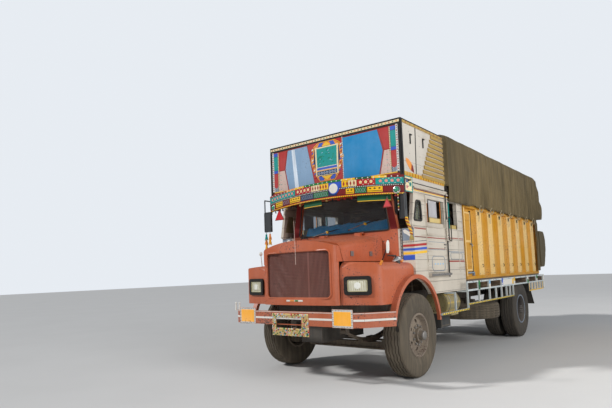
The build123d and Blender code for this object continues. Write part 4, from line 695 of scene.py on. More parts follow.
# Other cloths: name, colour, staining, bump, other settings, shader settings
CLOTHS = (
    ("seat", (0.20, 0.045, 0.035), 0.35, 0.4, {"Thread": 1500.0}, SHEEN),
    (
        "blue_cloth", (0.01, 0.50, 1.0), 0.3, 0.3,
        {"Stain": (0.005, 0.22, 0.60, 1), "Thread": 1800.0}, {"Sheen_Weight": 0.4},
    ),
    ("curtain", (0.50, 0.49, 0.50), 0.25, 0.3, {"Thread": 1800.0}, SHEEN),
    ("rope", (0.46, 0.38, 0.24), 0.5, 0.6, {"Thread": 700.0}, {}),
    ("cord_black", (0.03, 0.03, 0.03), 0.3, 0.5, {"Thread": 900.0}, {}),
)
# Decorative paints: name, colour
PALETTE = (
    ("red", (0.45, 0.022, 0.02)),
    ("maroon", (0.20, 0.012, 0.012)),
    ("brick", (0.34, 0.035, 0.022)),
    ("pale_pink", (0.62, 0.45, 0.38)),
    ("pink", (0.70, 0.24, 0.26)),
    ("orange", (0.80, 0.27, 0.02)),
    ("yellow", (0.88, 0.50, 0.0)),
    ("cream", (0.80, 0.66, 0.38)),
    ("white", (0.76, 0.73, 0.66)),
    ("teal", (0.0, 0.30, 0.27)),
    ("green", (0.01, 0.20, 0.04)),
    ("dark_green", (0.015, 0.11, 0.045)),
    ("blue", (0.02, 0.09, 0.52)),
    ("pale_blue", (0.30, 0.52, 0.72)),
    ("navy", (0.02, 0.035, 0.10)),
    ("slate", (0.22, 0.27, 0.33)),
    ("black", (0.018, 0.018, 0.018)),
    ("straw", (0.50, 0.36, 0.10)),
    ("ochre", (0.66, 0.50, 0.20)),
    # Olive fills the small side panes: painted shade of the cab's inside behind the glass
    ("pane_shade_olive", (0.26, 0.23, 0.12)),
)


class TRUCK_OT_mix_finishes(bpy.types.Operator):
    """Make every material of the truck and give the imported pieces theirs"""

    bl_idname = "truck.mix_finishes"
    bl_label = "Mix finishes"

    def execute(self, context):
        colours = context.scene.truck_colours
        weathering_group()
        timber_group()
        weave_group()
        self.follow_colours(colours)
        for name, colour in PALETTE:
            paint(name, colour, 0.05, 0.22, 0.45, fading=0.3, bump=0.15, **MATT)
        for name, colour, dust, chips, roughness, others in PAINTS:
            paint(name, colour, dust, chips, roughness, **others)
        for name, colour, wear, bump, others in BOARDS:
            values = {"Paint": (*colour, 1), "Wear": wear, **others}
            make_finish(name, "Painted boards", values, bump)
        for name, colour, staining, bump, others, shader in CLOTHS:
            values = {"Cloth": (*colour, 1), "Staining": staining, **others}
            make_finish(name, "Canvas weave", values, bump, **shader)
        dress_nodes()
        return {"FINISHED"}

    def follow_colours(self, colours):
        """Finishes that follow the colours that a user can change."""
        cowl, sky, cab, canvas = (
            tuple(c) for c in (colours.cowl, colours.sky, colours.cab, colours.canvas)
        )
        bumper = tuple(c * 0.92 for c in cowl)
        # The left crown panel is the same blue lightened towards white: painted glare
        sky_with_glare = tuple(0.60 * c + 0.22 for c in sky)
        coat = {"Coat_Weight": 0.12, "Coat_Roughness": 0.3}
        paint("cowl", cowl, 0.20, 0.36, 0.36, fading=0.34, depth=0.004, **coat)
        paint("bumper", bumper, 0.26, 0.55, 0.42)
        paint("grille", colours.grille, 0.30, 0.3, 0.55)
        paint("body", colours.body, 0.08, 0.34, 0.45, Specular_IOR_Level=0.25)
        paint("body_face", colours.body_face, 0.10, 0.34, 0.48, fading=0.4, Specular_IOR_Level=0.25)
        paint("rail", colours.rail, 0.22, 0.40, 0.45)
        paint("sky", sky, 0.05, 0.12, 0.45, fading=0.22, bump=0.1, **MATT)
        paint("sky_with_glare", sky_with_glare, 0.05, 0.12, 0.45, fading=0.3, **MATT)
        timber = "Painted boards"
        make_finish("cab", timber, {"Paint": (*cab, 1), "Wear": 0.30}, 0.35, 0.003)
        plain = {"Paint": (*(c * 0.94 for c in cab), 1), "Wear": 0.4, "Joint": 0.0}
        make_finish("cab_plain", timber, plain)
        for name, tone, stain, staining, bump, depth in CANVASES:
            values = {"Cloth": (*(c * tone for c in canvas), 1), "Stain": stain, "Staining": staining}
            make_finish(name, "Canvas weave", values, bump, depth)


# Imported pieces, by the finish that they get
NODE_FINISH = {
    "frame": ("chassis_frame",),
    "spring": ("leaf_springs", "tie_rod"),
    "axle": ("front_axle_beam", "knuckle_left", "knuckle_right", "rear_axle"),
    "wheel": ("wheel_front_left", "wheel_front_right"),
    "rear_wheel": ("wheel_rear_left", "wheel_rear_right"),
    "engine": ("engine_block",),
    "bumper": ("front_bumper",),
    "cowl": ("nose_panel", "bonnet", "fender_left", "fender_right", "cab_front"),
    "cab": ("cab_side_left", "cab_side_right", "door_left", "door_right"),
    "cab_plain": ("cab_roof",),
    "floor": ("cab_floor", "cab_back", "load_floor", "headboard"),
    "plastic": ("dashboard", "steering_wheel", "headlamps", "mirrors"),
    "brick": ("crown_board",),
    "crown_side": ("crown_box",),
    "maroon": ("visor_band",),
    "body": ("load_side_left", "load_side_right", "side_door", "tailboard"),
    "steel": ("hoop_frame",),
    "rail": ("side_rails",),
    "rubber": ("mudflaps",),
    "tank": ("tanks",),
    "glass": ("window_glass",),
    "grille": ("grille",),
    "seat": ("seats",),
    "canvas": ("tarpaulin",),
    "canvas_shade_roll": ("tarp_roll",),
    "tyre": ("spare_wheel", "tyre_front_left", "tyre_front_right"),
    "rear_tyre": ("tyres_rear_left", "tyres_rear_right"),
}
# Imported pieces, by the width of their softened edges
SOFT_EDGES = {
    0.012: ("engine_block",),
    0.010: ("nose_panel", "bonnet", "fender_left", "fender_right"),
    0.006: ("cab_front",),
    0.004: ("front_bumper", "visor_band", "door_left", "door_right"),
    0.003: ("crown_box", "crown_board", *NODE_FINISH["wheel"], *NODE_FINISH["rear_wheel"]),
}


def dress_nodes():
    """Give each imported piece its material, and soften the edges that are round on a real truck."""
    for finish, names in NODE_FINISH.items():
        for name in names:
            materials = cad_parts[name].data.materials
            materials.clear()
            materials.append(FINISH[finish])
    for width, names in SOFT_EDGES.items():
        for name in names:
            soften(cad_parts[name], width, 38, harden=True)


# Half of a tyre's profile: share of the width, share of the height above the rim
TYRE_WALL = (
    (0.36, 0.005), (0.385, 0.05), (0.43, 0.14), (0.462, 0.26), (0.478, 0.30), (0.478, 0.33),
    (0.49, 0.36), (0.496, 0.44), (0.49, 0.52), (0.483, 0.56), (0.483, 0.60), (0.474, 0.66),
    (0.468, 0.74), (0.455, 0.82), (0.43, 0.90), (0.395, 0.955),
)
RIM_RADIUS = 0.254
# Half the width of the bead, and how much the tread's crown has dropped at this share of the width
BEAD_HALF = 0.098
CROWN_DROP = 0.006
CROWN_SHARE = 0.37
# Middles and half width of the tread's grooves, as shares of the width
GROOVES = (0.0, 0.155, 0.30)
GROOVE_HALF = 0.022
# How a point of the profile moves round the tyre
STILL, ZIGZAG, SHOULDER = range(3)


def tread_rows(groove):
    """The tread's grooves from the middle outwards, as (share, height)."""
    rows = []
    foot = GROOVE_HALF * 0.7
    for middle in GROOVES:
        rows.append((middle - GROOVE_HALF, 0.0))
        rows.append((middle - foot, -groove))
        rows.append((middle + foot, -groove))
        rows.append((middle + GROOVE_HALF, 0.0))
    return [row for row in rows if row[0] > 0]


def make_tyre(piece, x, y, z, axis, finish, groove, lugs=False, steps=120):
    """One tyre with a zigzag rib tread, or with cut shoulders for the driven wheels."""
    height = TYRE_RADIUS - RIM_RADIUS
    half = [(BEAD_HALF, RIM_RADIUS + 0.001, STILL)]
    half += [(share * TYRE_WIDTH, RIM_RADIUS + rise * height, STILL) for share, rise in TYRE_WALL]
    half.append((0.372 * TYRE_WIDTH, TYRE_RADIUS - 0.010, SHOULDER))
    for share, deep in tread_rows(groove)[::-1]:
        crown = TYRE_RADIUS - CROWN_DROP * (share / CROWN_SHARE) ** 2
        half.append((share * TYRE_WIDTH, crown + deep, ZIGZAG))
    rows = [(-along, radius, way) for along, radius, way in half] + half[::-1]
    notch = 0.012 if lugs else 0.005

    def shift(step, row):
        way = rows[row][2]
        if way == ZIGZAG:
            return (0.004 if step % 4 < 2 else -0.004, 0)
        if way == SHOULDER and step % 3 == 0:
            return (0, -notch)
        return (0, 0)

    piece.lathe((x, y, z), axis, [(a, r) for a, r, _ in rows], finish, steps=steps, shift=shift)


class TRUCK_OT_fit_wheels(bpy.types.Operator):
    """Tyres with their tread, lock rings, wheel nuts and hub caps, and the spare wheel"""

    bl_idname = "truck.fit_wheels"
    bl_label = "Fit wheels"

    def execute(self, context):
        groove = context.scene.truck_sizes.groove
        for side, word in HANDS:
            tyre = Piece("tread_front_" + word)
            make_tyre(tyre, side * FRONT_TYRE_X, FRONT_AXLE, TYRE_RADIUS, (1, 0, 0), "tyre", groove)
            tyre.set_on("front_wheel_" + word, replaces=("tyre_front_" + word,), smooth=42)
            tyre = Piece("tread_rear_" + word)
            for x in REAR_TYRE_X:
                make_tyre(
                    tyre, side * x, back(WHEELBASE), TYRE_RADIUS, (1, 0, 0), "rear_tyre", groove,
                    lugs=True,
                )
            tyre.set_on("rear_wheels_" + word, replaces=("tyres_rear_" + word,), smooth=42)
            self.front_hub(side, word)
            self.rear_hub(side, word)
        self.spare(groove)
        return {"FINISHED"}

    def front_hub(self, side, word):
        """Lock ring, ten nuts and a flanged hub cap on the outer face of the front wheel."""
        hub = Piece("hub_front_" + word)
        centre = (side * FRONT_TYRE_X, FRONT_AXLE, TYRE_RADIUS)
        axis = (side, 0, 0)
        lock_ring = [(0.100, 0.240), (0.117, 0.247), (0.119, 0.262), (0.110, 0.272), (0.100, 0.262)]
        hub.lathe(centre, axis, lock_ring, "wheel", 64)
        hub.lathe(
            centre, axis, [(0.070, 0.128), (0.094, 0.126), (0.098, 0.112), (0.090, 0.100)], "wheel", 48
        )
        self.nuts(hub, side, FRONT_TYRE_X + 0.084, FRONT_AXLE, 0.118, 10, 0.026, 0.015, "steel")
        self.nuts(hub, side, FRONT_TYRE_X + 0.124, FRONT_AXLE, 0.069, 8, 0.008, 0.008, "steel")
        cap = [(0.170, 0.057), (0.186, 0.054), (0.196, 0.040), (0.199, 0.020), (0.200, 0.0004)]
        hub.lathe(centre, axis, cap, "steel", 32)
        valve = [
            (side * (FRONT_TYRE_X + a), FRONT_AXLE + 0.215, TYRE_RADIUS + 0.02)
            for a in (0.05, 0.09, 0.115)
        ]
        hub.tube(valve, [0.006, 0.005, 0.004], "rubber", 6)
        hub.set_on("front_wheel_" + word)

    def rear_hub(self, side, word):
        """Lock ring of the outer rear wheel, and the nuts in its deep dish."""
        hub = Piece("hub_rear_" + word)
        low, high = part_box("wheel_rear_" + word)
        rim = REAR_TYRE_X[1]
        centre = (side * rim, back(WHEELBASE), TYRE_RADIUS)
        lock_ring = [(0.096, 0.240), (0.114, 0.246), (0.116, 0.262), (0.106, 0.272), (0.096, 0.262)]
        hub.lathe(centre, (side, 0, 0), lock_ring, "slate", 64)
        cap = max(abs(low[0]), abs(high[0]))
        self.nuts(hub, side, cap - 0.012, back(WHEELBASE), 0.052, 8, 0.020, 0.010, "steel")
        hub.set_on("rear_wheels_" + word)

    def nuts(self, piece, side, x, y, ring, count, tall, radius, finish):
        """A ring of six-sided nuts standing out from a wheel."""
        for step in range(count):
            turn = 2 * math.pi * (step + 0.5) / count
            spot = (side * x, y + ring * math.cos(turn), TYRE_RADIUS + ring * math.sin(turn))
            nut = [(0, radius), (tall * 0.8, radius), (tall, radius * 0.8), (tall, 0)]
            piece.lathe(spot, (side, 0, 0), nut, finish, 6)

    def spare(self, groove):
        """The spare wheel lying flat in its carrier under the frame."""
        low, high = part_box("spare_wheel")
        spare = Piece("spare_tyre")
        y = (low[1] + high[1]) / 2
        x, z = SPARE_X, SPARE_Z
        make_tyre(spare, x, y, z, (0, 0, 1), "tyre", groove)
        rim = [
            (-0.10, 0.252), (-0.09, 0.232), (0.0, 0.224), (0.04, 0.150), (0.05, 0.090), (0.06, 0.090),
            (0.05, 0.155), (0.01, 0.232), (0.10, 0.252),
        ]
        spare.lathe((x, y, z), (0, 0, -1), rim, "wheel", 48)
        spare.lathe(
            (x, y, z),
            (0, 0, 1),
            [(-0.094, 0.0), (-0.094, 0.062), (0.180, 0.062), (0.180, 0.0)],
            "frame",
            24,
        )
        spare.box((0.0, y - 0.040, 0.740), (x + 0.120, y + 0.040, 0.780), "frame")
        spare.set_on("truck", replaces=("spare_wheel",), smooth=42)


class TRUCK_OT_dress_front(bpy.types.Operator):
    """Grille mesh, lamps, bumper stripes and blank plates, wipers, rods and indicators"""

    bl_idname = "truck.dress_front"
    bl_label = "Dress front"

    def execute(self, context):
        self.grille(context.scene.truck_sizes)
        self.lamps()
        self.bumper()
        self.nose()
        self.bonnet()
        self.wipers()
        return {"FINISHED"}

    def grille(self, sizes):
        """A fine square mesh of bars, bowed with the nose and bent where it was knocked."""
        low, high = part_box("grille")
        mesh = Piece("grille_mesh")
        half = high[0] - 0.001

        def face(u, v, out):
            bow = NOSE_FRONT + 0.024 + 0.033 * (u / half) ** 2
            knock = 0.0
            for row in range(5):
                spot = Vector((u + 0.30 - 0.035 * (row % 2), v - 1.12 - 0.10 * row))
                reach = abs(spot.y + spot.x * 0.9) * 14
                knock += 0.016 * math.exp(-(reach**2) - (spot.x * 9) ** 2)
            return (u, back(bow + knock) - out, v)

        corner, steps = 0.055, 14
        columns = int(2 * half / sizes.mesh_pitch)
        rows = int((high[2] - low[2]) / sizes.mesh_pitch)
        wire = sizes.wires / 2
        for i in range(columns + 1):
            u = -half + 2 * half * i / columns
            inset = max(0.0, abs(u) - (half - corner))
            trim = corner - math.sqrt(max(corner**2 - inset**2, 0))
            v0, v1 = low[2] + trim, high[2] - trim
            heavy = 0.010 if i == round(columns * 0.68) else wire
            for s in range(steps):
                a, b = v0 + (v1 - v0) * s / steps, v0 + (v1 - v0) * (s + 1) / steps
                outline = ((u - heavy, a), (u + heavy, a), (u + heavy, b), (u - heavy, b))
                mesh.plate(outline, face, 0.004, "grille", sunk=0.001)
        for j in range(rows + 1):
            v = low[2] + (high[2] - low[2]) * j / rows
            inset = max(0.0, corner - min(v - low[2], high[2] - v))
            trim = corner - math.sqrt(max(corner**2 - inset**2, 0))
            mesh.bar(
                (-half + trim, half - trim), (v - wire * 0.8, v + wire * 0.8), face, 0.0025, "grille",
                columns=18,
            )
        mesh.set_on("truck", replaces=("grille",), recalc=False)
        core = Piece("radiator_core")
        sheet, fins = facing_front(NOSE_FRONT + 0.092), facing_front(NOSE_FRONT + 0.088)
        core.bar((-half + 0.01, half - 0.01), (low[2] + 0.01, high[2] - 0.01), sheet, 0.004, "frame")
        for i in range(60):
            u = -half + 0.02 + (2 * half - 0.04) * i / 59
            core.bar((u - 0.003, u + 0.003), (low[2] + 0.02, high[2] - 0.02), fins, 0.006, "engine")
        core.set_on()

    def lamps(self):
        """Rectangular headlamps in rounded dark bezels."""
        lamp = Piece("headlamp_pair")
        z = 1.169
        for side in SIDES:
            face = facing_lamp(side)
            ring(
                lamp, rounded(0, z, 0.166, 0.109, 0.034), rounded(0, z, 0.124, 0.069, 0.022), face,
                0.0003, 0.026, "black",
            )
            lamp.plate(rounded(0, z, 0.133, 0.076, 0.014), face, 0.008, "bright", sunk=0.054)
            ring(
                lamp, rounded(0, z, 0.125, 0.070, 0.020), rounded(0, z, 0.116, 0.061, 0.016), face, 0.008,
                0.022, "lens_edge",
            )
            lens = [face(u, v, 0.016) for u, v in rounded(0, z, 0.118, 0.063, 0.016)]
            count = len(lens)
            lamp.faces(
                lens + [face(0, z, 0.024)], [(i, (i + 1) % count, count) for i in range(count)], "lens"
            )
            lamp.disc((0, z), 0.040, face, 0.0245, "lens_heart", 20, 0.004)
            for i in range(9):
                u = (i - 4) * 0.026
                lamp.bar((u - 0.002, u + 0.002), (z - 0.055, z + 0.055), face, 0.0235, "lens_edge")
        lamp.set_on("truck", replaces=("headlamps",), bevel=0.002)
        self.marker(1, "left")
        self.marker(-1, "right")

    def marker(self, side, word):
        """Indicator on top of a fender, with a wing mirror on the left one and a rod on the right."""
        marker = Piece("marker_" + word)
        x, y = side * 1.000, back(-0.30)
        marker.lathe(
            (x, y, 1.420), (0, -0.25, 1), [(-0.01, 0.034), (0.02, 0.034), (0.035, 0.026)], "plastic", 20
        )
        shell = [(x, y - 0.10, 1.440), (x, y - 0.04, 1.466), (x, y + 0.05, 1.470), (x, y + 0.10, 1.456)]
        marker.tube(shell, [0.012, 0.034, 0.034, 0.016], "bright", 14)
        marker.ball((x - side * 0.005, y + 0.11, 1.448), 0.026, "amber", (1, 1.3, 0.9))
        if side > 0:
            foot = (1.036, back(-0.79), 1.392)
            y = back(-0.823)
            marker.tube([foot, (1.070, back(-0.795), 1.448)], 0.014, "orange", 8)
            marker.tube(
                [foot, (1.105, back(-0.80), 1.510), (1.161, back(-0.82), 1.610)], 0.006, "black", 8
            )
            glass = [(1.160, y, 1.525), (1.164, y, 1.560), (1.168, y, 1.640), (1.170, y, 1.668)]
            marker.tube(glass, [0.012, 0.019, 0.018, 0.008], "white", 10)
            handle = [(1.160, y, 1.500), (1.200, y, 1.494), (1.262, y, 1.488)]
            marker.tube(handle, [0.006, 0.007, 0.011], "black", 8)
        else:
            x, y, z = (-0.975, back(-0.62), 1.405)
            marker.tube([(x, y, z), (x - 0.012, y - 0.01, 1.60)], 0.006, "white", 8)
            marker.ball((x - 0.013, y - 0.012, 1.625), 0.024, "white", (1, 1, 1.25))
        marker.set_on()

    def bumper(self):
        """Stripes, blank plates in dotted borders, and the fringed plate frame."""
        trim = Piece("bumper_trim")
        face = facing_front(-1.157)
        trim.bar((-0.87, 0.87), (0.785, 0.808), face, 0.0015, "white")
        trim.bar((-0.88, 0.88), (0.866, 0.877), face, 0.0015, "pale_pink")
        for side in SIDES:
            for up, finish in (((0.785, 0.808), "white"), ((0.866, 0.877), "pale_pink")):
                self.slanted(trim, side, (0.882, -1.1575), (0.988, -1.097), up, 0.002, finish)
                self.slanted(trim, side, (0.990, -1.095), (1.217, -0.803), up, 0.005, finish)
        plate = facing_front(-1.160)
        for side in SIDES:
            across = sorted((side * 0.603, side * 0.877))
            up = (0.713, 0.912)
            trim.bar(across, up, plate, 0.002, "white")
            trim.bar(
                (across[0] + 0.022, across[1] - 0.022),
                (up[0] + 0.022, up[1] - 0.022),
                plate,
                0.004,
                "amber_plate",
            )
            for v in (up[0] + 0.010, up[1] - 0.010):
                trim.dots((across[0], v), (across[1], v), 0.020, 0.006, plate, 0.0035, ("black", "slate"))
            for u in (across[0] + 0.010, across[1] - 0.010):
                trim.dots(
                    (u, up[0] + 0.02), (u, up[1] - 0.02), 0.020, 0.006, plate, 0.0035, ("black", "slate")
                )
        self.fringe(trim, (-0.310, 0.260), (0.590, 0.862), (-0.256, 0.149), (0.677, 0.805))
        for x in (-1.02, -0.955):
            trim.tube([(x, back(-1.10), 0.872), (x, back(-1.10), 0.955)], [0.013, 0.009], "white", 8)
            trim.ball((x, back(-1.10), 0.965), 0.014, "white")
        trim.set_on()

    def slanted(self, trim, side, start, end, up, out, finish):
        """A raised stripe where the bumper runs back, between two (across, back) places."""
        ring = [(start, up[0]), (end, up[0]), (end, up[1]), (start, up[1])]
        flat = [(side * x, back(y), z) for (x, y), z in ring]
        raised = [(x + side * out, y - 0.004, z) for x, y, z in flat]
        faces = [(4, 5, 6, 7), (0, 1, 5, 4), (2, 3, 7, 6), (1, 2, 6, 5), (3, 0, 4, 7)]
        trim.faces(flat + raised, faces, finish)

    def fringe(self, trim, across, up, hole_across, hole_up):
        """A plate frame covered in short coloured tufts round a dark opening."""
        dice = random.Random(5)
        face = facing_front(-1.160)
        colours = ("ochre",) * 8 + ("green", "red", "pale_blue", "pink", "dark_green", "white")
        pitch, edge = 0.0145, 0.008
        v = up[0] + edge
        while v < up[1] - edge / 2:
            u = across[0] + edge
            while u < across[1] - edge / 2:
                if not (hole_across[0] < u < hole_across[1] and hole_up[0] < v < hole_up[1]):
                    w = 0.008 * dice.uniform(0.7, 1.2)
                    lift = dice.uniform(0.006, 0.018)
                    corners = ((u - w, v - w), (u + w, v - w), (u + w, v + w), (u - w, v + w))
                    points = [face(*corner, 0) for corner in corners]
                    points.append(face(u + dice.uniform(-1, 1) * w, v - 0.010, lift))
                    tuft = [(0, 1, 4), (1, 2, 4), (2, 3, 4), (3, 0, 4)]
                    trim.faces(points, tuft, dice.choice(colours))
                u += pitch
            v += pitch

    def nose(self):
        """Coloured strip below the grille, thin rod up the nose, the grille's rim and rivets."""
        nose = Piece("nose_trim")

        def face(u, v, out):
            return (u, back(NOSE_FRONT + 0.045 * (u / 0.585) ** 2) - out, v)

        nose.bar((-0.16, 0.10), (0.990, 1.010), face, 0.003, "white", 6)
        nose.bar((-0.10, -0.03), (0.992, 1.008), face, 0.005, "orange", 2)
        nose.bar((-0.02, 0.03), (0.992, 1.008), face, 0.005, "green", 2)
        rod = [
            face(0.02, 1.44, 0.012),
            face(0.02, 1.60, 0.014),
            face(0.018, 1.78, 0.016),
            face(0.016, 1.98, 0.020),
        ]
        nose.tube(rod, [0.003, 0.003, 0.0025, 0.002], "pale_pink", 6)
        rim = [face(u, v, 0.004) for u, v in rounded(0, 1.315, 0.505, 0.285, 0.055)]
        nose.tube(rim, 0.010, "cowl", 8, closed=True)
        for u in (-0.535, 0.535):
            for v in (1.0, 1.25, 1.5):
                nose.disc((u, v), 0.009, face, 0.003, "cowl", 10, 0.003)
        nose.set_on()

    def bonnet(self):
        """Side catches and the low handle on the bonnet."""
        trim = Piece("bonnet_trim")
        for side in SIDES:
            for x, y in ((0.602, -0.70), (0.625, -0.30)):
                trim.box(
                    (side * x - 0.010, back(y) - 0.03, 1.52),
                    (side * x + 0.010, back(y) + 0.03, 1.58),
                    "steel",
                )
        handle = [
            (x, back(-0.86), z) for x, z in ((-0.06, 1.742), (-0.05, 1.768), (0.05, 1.768), (0.06, 1.742))
        ]
        trim.tube(handle, 0.006, "black", 8)
        trim.set_on("bonnet", bevel=0.003)

    def wipers(self):
        """Two wipers with yellow spots, the rubber of the windscreen, and its posts painted dark maroon
        as painted shade.
        """
        trim = Piece("screen_trim")
        face = facing_front(-0.020)
        outline = [(-0.760, 1.860), (0.760, 1.860), (0.690, 2.340), (-0.690, 2.340)]
        trim.tube(
            [face(u, v, 0.004) for u, v in round_corners(outline, 0.045)], 0.011, "rubber", 8, closed=True
        )
        for foot, tip in (((-0.50, 1.852), (-0.02, 1.935)), ((0.13, 1.905), (0.62, 2.01))):
            trim.tube([face(*foot, 0.002), face(*foot, 0.020)], 0.012, "black", 10)
            middle = (foot[0] + (tip[0] - foot[0]) * 0.55, foot[1] + (tip[1] - foot[1]) * 0.60)
            trim.tube([face(*foot, 0.020), face(*middle, 0.034)], [0.007, 0.005], "steel", 6)
            start = (foot[0] + (tip[0] - foot[0]) * 0.28, foot[1] + (tip[1] - foot[1]) * 0.40)
            trim.tube(
                [face(*start, 0.016), face(*middle, 0.018), face(*tip, 0.016)],
                [0.005, 0.008, 0.004],
                "black",
                6,
            )
            trim.disc(middle, 0.018, face, 0.030, "yellow", 12, 0.004)
        # Maroon plates on the windscreen posts: painted shade over the cowl's colour
        for side in SIDES:
            post = ((0.776, 1.866), (0.876, 1.866), (0.778, 2.394), (0.708, 2.350))
            trim.plate([(side * u, v) for u, v in post], face, 0.002, "maroon")
        trim.set_on()


# Crown board, seen from the front: finish and outline of each large field
CROWN_FIELDS = (
    ("sky", ((0.225, 2.560), (0.772, 2.560), (0.838, 2.865), (0.768, 3.150), (0.225, 3.150))),
    # The left panel: the right panel's blue with painted glare, and a streak of painted reflection across
    # it
    ("sky_with_glare", ((-0.270, 2.560), (-0.390, 3.150), (-0.752, 3.150), (-0.806, 2.870), (-0.745, 2.560))),
    ("reflection_streak", ((-0.630, 2.565), (-0.560, 2.565), (-0.620, 3.145), (-0.680, 3.145))),
    ("red", ((0.785, 3.150), (0.935, 3.150), (0.935, 2.868), (0.866, 2.868))),
    ("pale_pink", ((0.862, 2.860), (0.935, 2.860), (0.945, 2.560), (0.792, 2.560))),
    ("red", ((-0.770, 3.150), (-0.930, 3.150), (-0.930, 2.870), (-0.828, 2.870))),
    ("pale_pink", ((-0.824, 2.862), (-0.930, 2.862), (-0.940, 2.560), (-0.765, 2.560))),
    ("red", ((-0.382, 3.165), (-0.262, 2.560), (0.215, 2.560), (0.215, 3.165))),
)
# Strip at each end of the crown board: finish, foot and head
CROWN_STRIP = (
    ("slate", 2.560, 2.640),
    ("red", 2.645, 2.836),
    ("blue", 2.842, 2.882),
    ("teal", 2.886, 3.095),
    ("blue", 3.100, 3.150),
)
# Medallion: finish, half width at the top, at the waist and at the foot, head, foot
MEDALLION = (
    ("yellow", 0.222, 0.284, 0.190, 3.160, 2.586),
    ("maroon", 0.215, 0.276, 0.183, 3.153, 2.593),
    ("orange", 0.211, 0.271, 0.179, 3.148, 2.598),
    ("navy", 0.210, 0.230, 0.170, 3.104, 2.636),
    ("cream", 0.200, 0.202, 0.190, 3.090, 2.680),
    ("teal", 0.174, 0.176, 0.168, 3.072, 2.805),
)
MEDALLION_X = -0.045
# How far the painted fields and the streak of painted reflection over one of them stand out
FIELD_LIFT = 0.0030
STREAK_LIFT = 0.0042


class TRUCK_OT_paint_crown(bpy.types.Operator):
    """Panels, medallion, strips and trim of the board above the cab, and the crown's sides"""

    bl_idname = "truck.paint_crown"
    bl_label = "Paint crown"

    def execute(self, context):
        face = facing_front(CROWN_FRONT)
        board = Piece("crown_painting")
        for finish, outline in CROWN_FIELDS:
            board.plate(outline, face, STREAK_LIFT if finish == "reflection_streak" else FIELD_LIFT, finish)
        self.medallion(board, face)
        for side in SIDES:
            self.edge(board, face, side)
        self.borders(board, face)
        board.set_on()
        for side, word in HANDS:
            self.side_painting(side, word)
        return {"FINISHED"}

    def borders(self, board, face):
        """Dotted head strip, line along the foot and dotted line beside the blue panel."""
        board.bar((-1.10, 1.10), (3.165, 3.240), face, 0.006, "black")
        board.bar((-1.09, 1.09), (3.188, 3.218), face, 0.009, "cream")
        board.dots(
            (-1.08, 3.203), (1.08, 3.203), 0.052, 0.009, face, 0.011, ("red", "dark_green", "orange"), 8
        )
        board.bar((-1.10, 1.10), (2.546, 2.560), face, 0.004, "yellow")
        board.bar((0.218, 0.228), (2.56, 3.165), face, 0.006, "white")
        board.dots((0.223, 2.57), (0.223, 3.16), 0.026, 0.005, face, 0.007, ("black",))

    def medallion(self, board, face):
        """Stacked frames round a teal panel with plain leaf marks, and small discs at the foot."""
        for step, (finish, top, waist, foot, head, low) in enumerate(MEDALLION):
            high_cut = head - 0.085 * (head - low)
            low_cut = low + 0.16 * (head - low)
            if step > 3:
                outline = [(-top, head), (-foot, low)]
            else:
                outline = [(-top * 0.62, head), (-top, high_cut), (-waist, 2.90), (-foot, low_cut)]
                outline.append((-foot * 0.60, low))
            outline += [(-x, z) for x, z in outline[::-1]]
            board.plate([(MEDALLION_X + x, z) for x, z in outline], face, 0.0042 + 0.0007 * step, finish)
        top = 0.0042 + 0.0007 * len(MEDALLION)
        for z, half, finish in (
            (2.717, 0.0275, "navy"),
            (2.753, 0.004, "orange"),
            (2.780, 0.015, "blue"),
            (2.800, 0.003, "white"),
        ):
            board.bar((MEDALLION_X - 0.170, MEDALLION_X + 0.170), (z - half, z + half), face, top, finish)
        dice = random.Random(11)
        for _ in range(44):
            u = MEDALLION_X + dice.uniform(-0.15, 0.15)
            v = dice.uniform(2.825, 3.040)
            tilt = dice.uniform(-0.02, 0.02)
            leaf = (
                (u - 0.012, v),
                (u - 0.008, v - 0.006),
                (u + 0.014, v + 0.004 + tilt),
                (u + 0.010, v + 0.010 + tilt),
            )
            board.plate(leaf, face, top, dice.choice(("green", "dark_green", "pale_blue", "teal")))
        for step in range(7):
            u = MEDALLION_X + (step - 3) * 0.046
            board.disc((u, 2.716), 0.018, face, top + 0.0005, "pale_blue", 12)
            board.disc((u, 2.716), 0.010, face, top + 0.0015, "maroon", 10)
        for half, base, tip in ((0.075, 3.094, 3.150), (0.100, 2.672, 2.612)):
            corners = ((-half, base), (half, base), (0.0, tip))
            board.plate([(MEDALLION_X + u, v) for u, v in corners], face, top, "yellow")
        for side in SIDES:
            for head, foot in ((3.146, 3.094), (2.612, 2.668)):
                blade = ((0.085, foot), (0.150, foot), (0.120, head), (0.050, head))
                board.plate([(MEDALLION_X + side * u, v) for u, v in blade], face, top, "blue")
            for step in range(9):
                z = 2.655 + step * 0.050
                u = MEDALLION_X + side * (0.192 + 0.052 * min(1.0, (z - 2.60) / 0.30))
                mark = (
                    (u - 0.013, z), (u + 0.013, z + 0.014), (u + 0.013, z + 0.034), (u - 0.013, z + 0.020)
                )
                board.plate(mark, face, top, ("red", "blue", "white")[step % 3])

    def edge(self, board, face, side):
        """Coloured strip, dotted border and black post at one end of the board."""
        for finish, low, high in CROWN_STRIP:
            across = sorted((side * 0.957, side * 1.032))
            board.bar(across, (low, high), face, 0.004, finish)
        board.disc((side * 0.9935, 2.652), 0.036, face, 0.0048, "red", 14)
        for z in (2.570, 2.592, 2.614):
            board.dots(
                (side * 0.962, z), (side * 1.026, z), 0.016, 0.005, face, 0.0055, ("black", "white")
            )
        board.dots(
            (side * 0.899, 2.575), (side * 0.899, 2.850), 0.034, 0.006, face, 0.0050, ("teal", "pink"), 6
        )
        board.bar(sorted((side * 1.035, side * 1.066)), (2.546, 3.165), face, 0.004, "white")
        board.dots(
            (side * 1.050, 2.55), (side * 1.050, 3.16), 0.030, 0.009, face, 0.0055, ("slate", "brick")
        )
        board.bar(sorted((side * 1.070, side * 1.100)), (2.500, 3.165), face, 0.010, "black")
        board.bar(sorted((side * 0.940, side * 0.952)), (2.560, 3.150), face, 0.004, "cream")
        board.dots((side * 0.946, 2.565), (side * 0.946, 3.145), 0.024, 0.0045, face, 0.0055, ("black",))

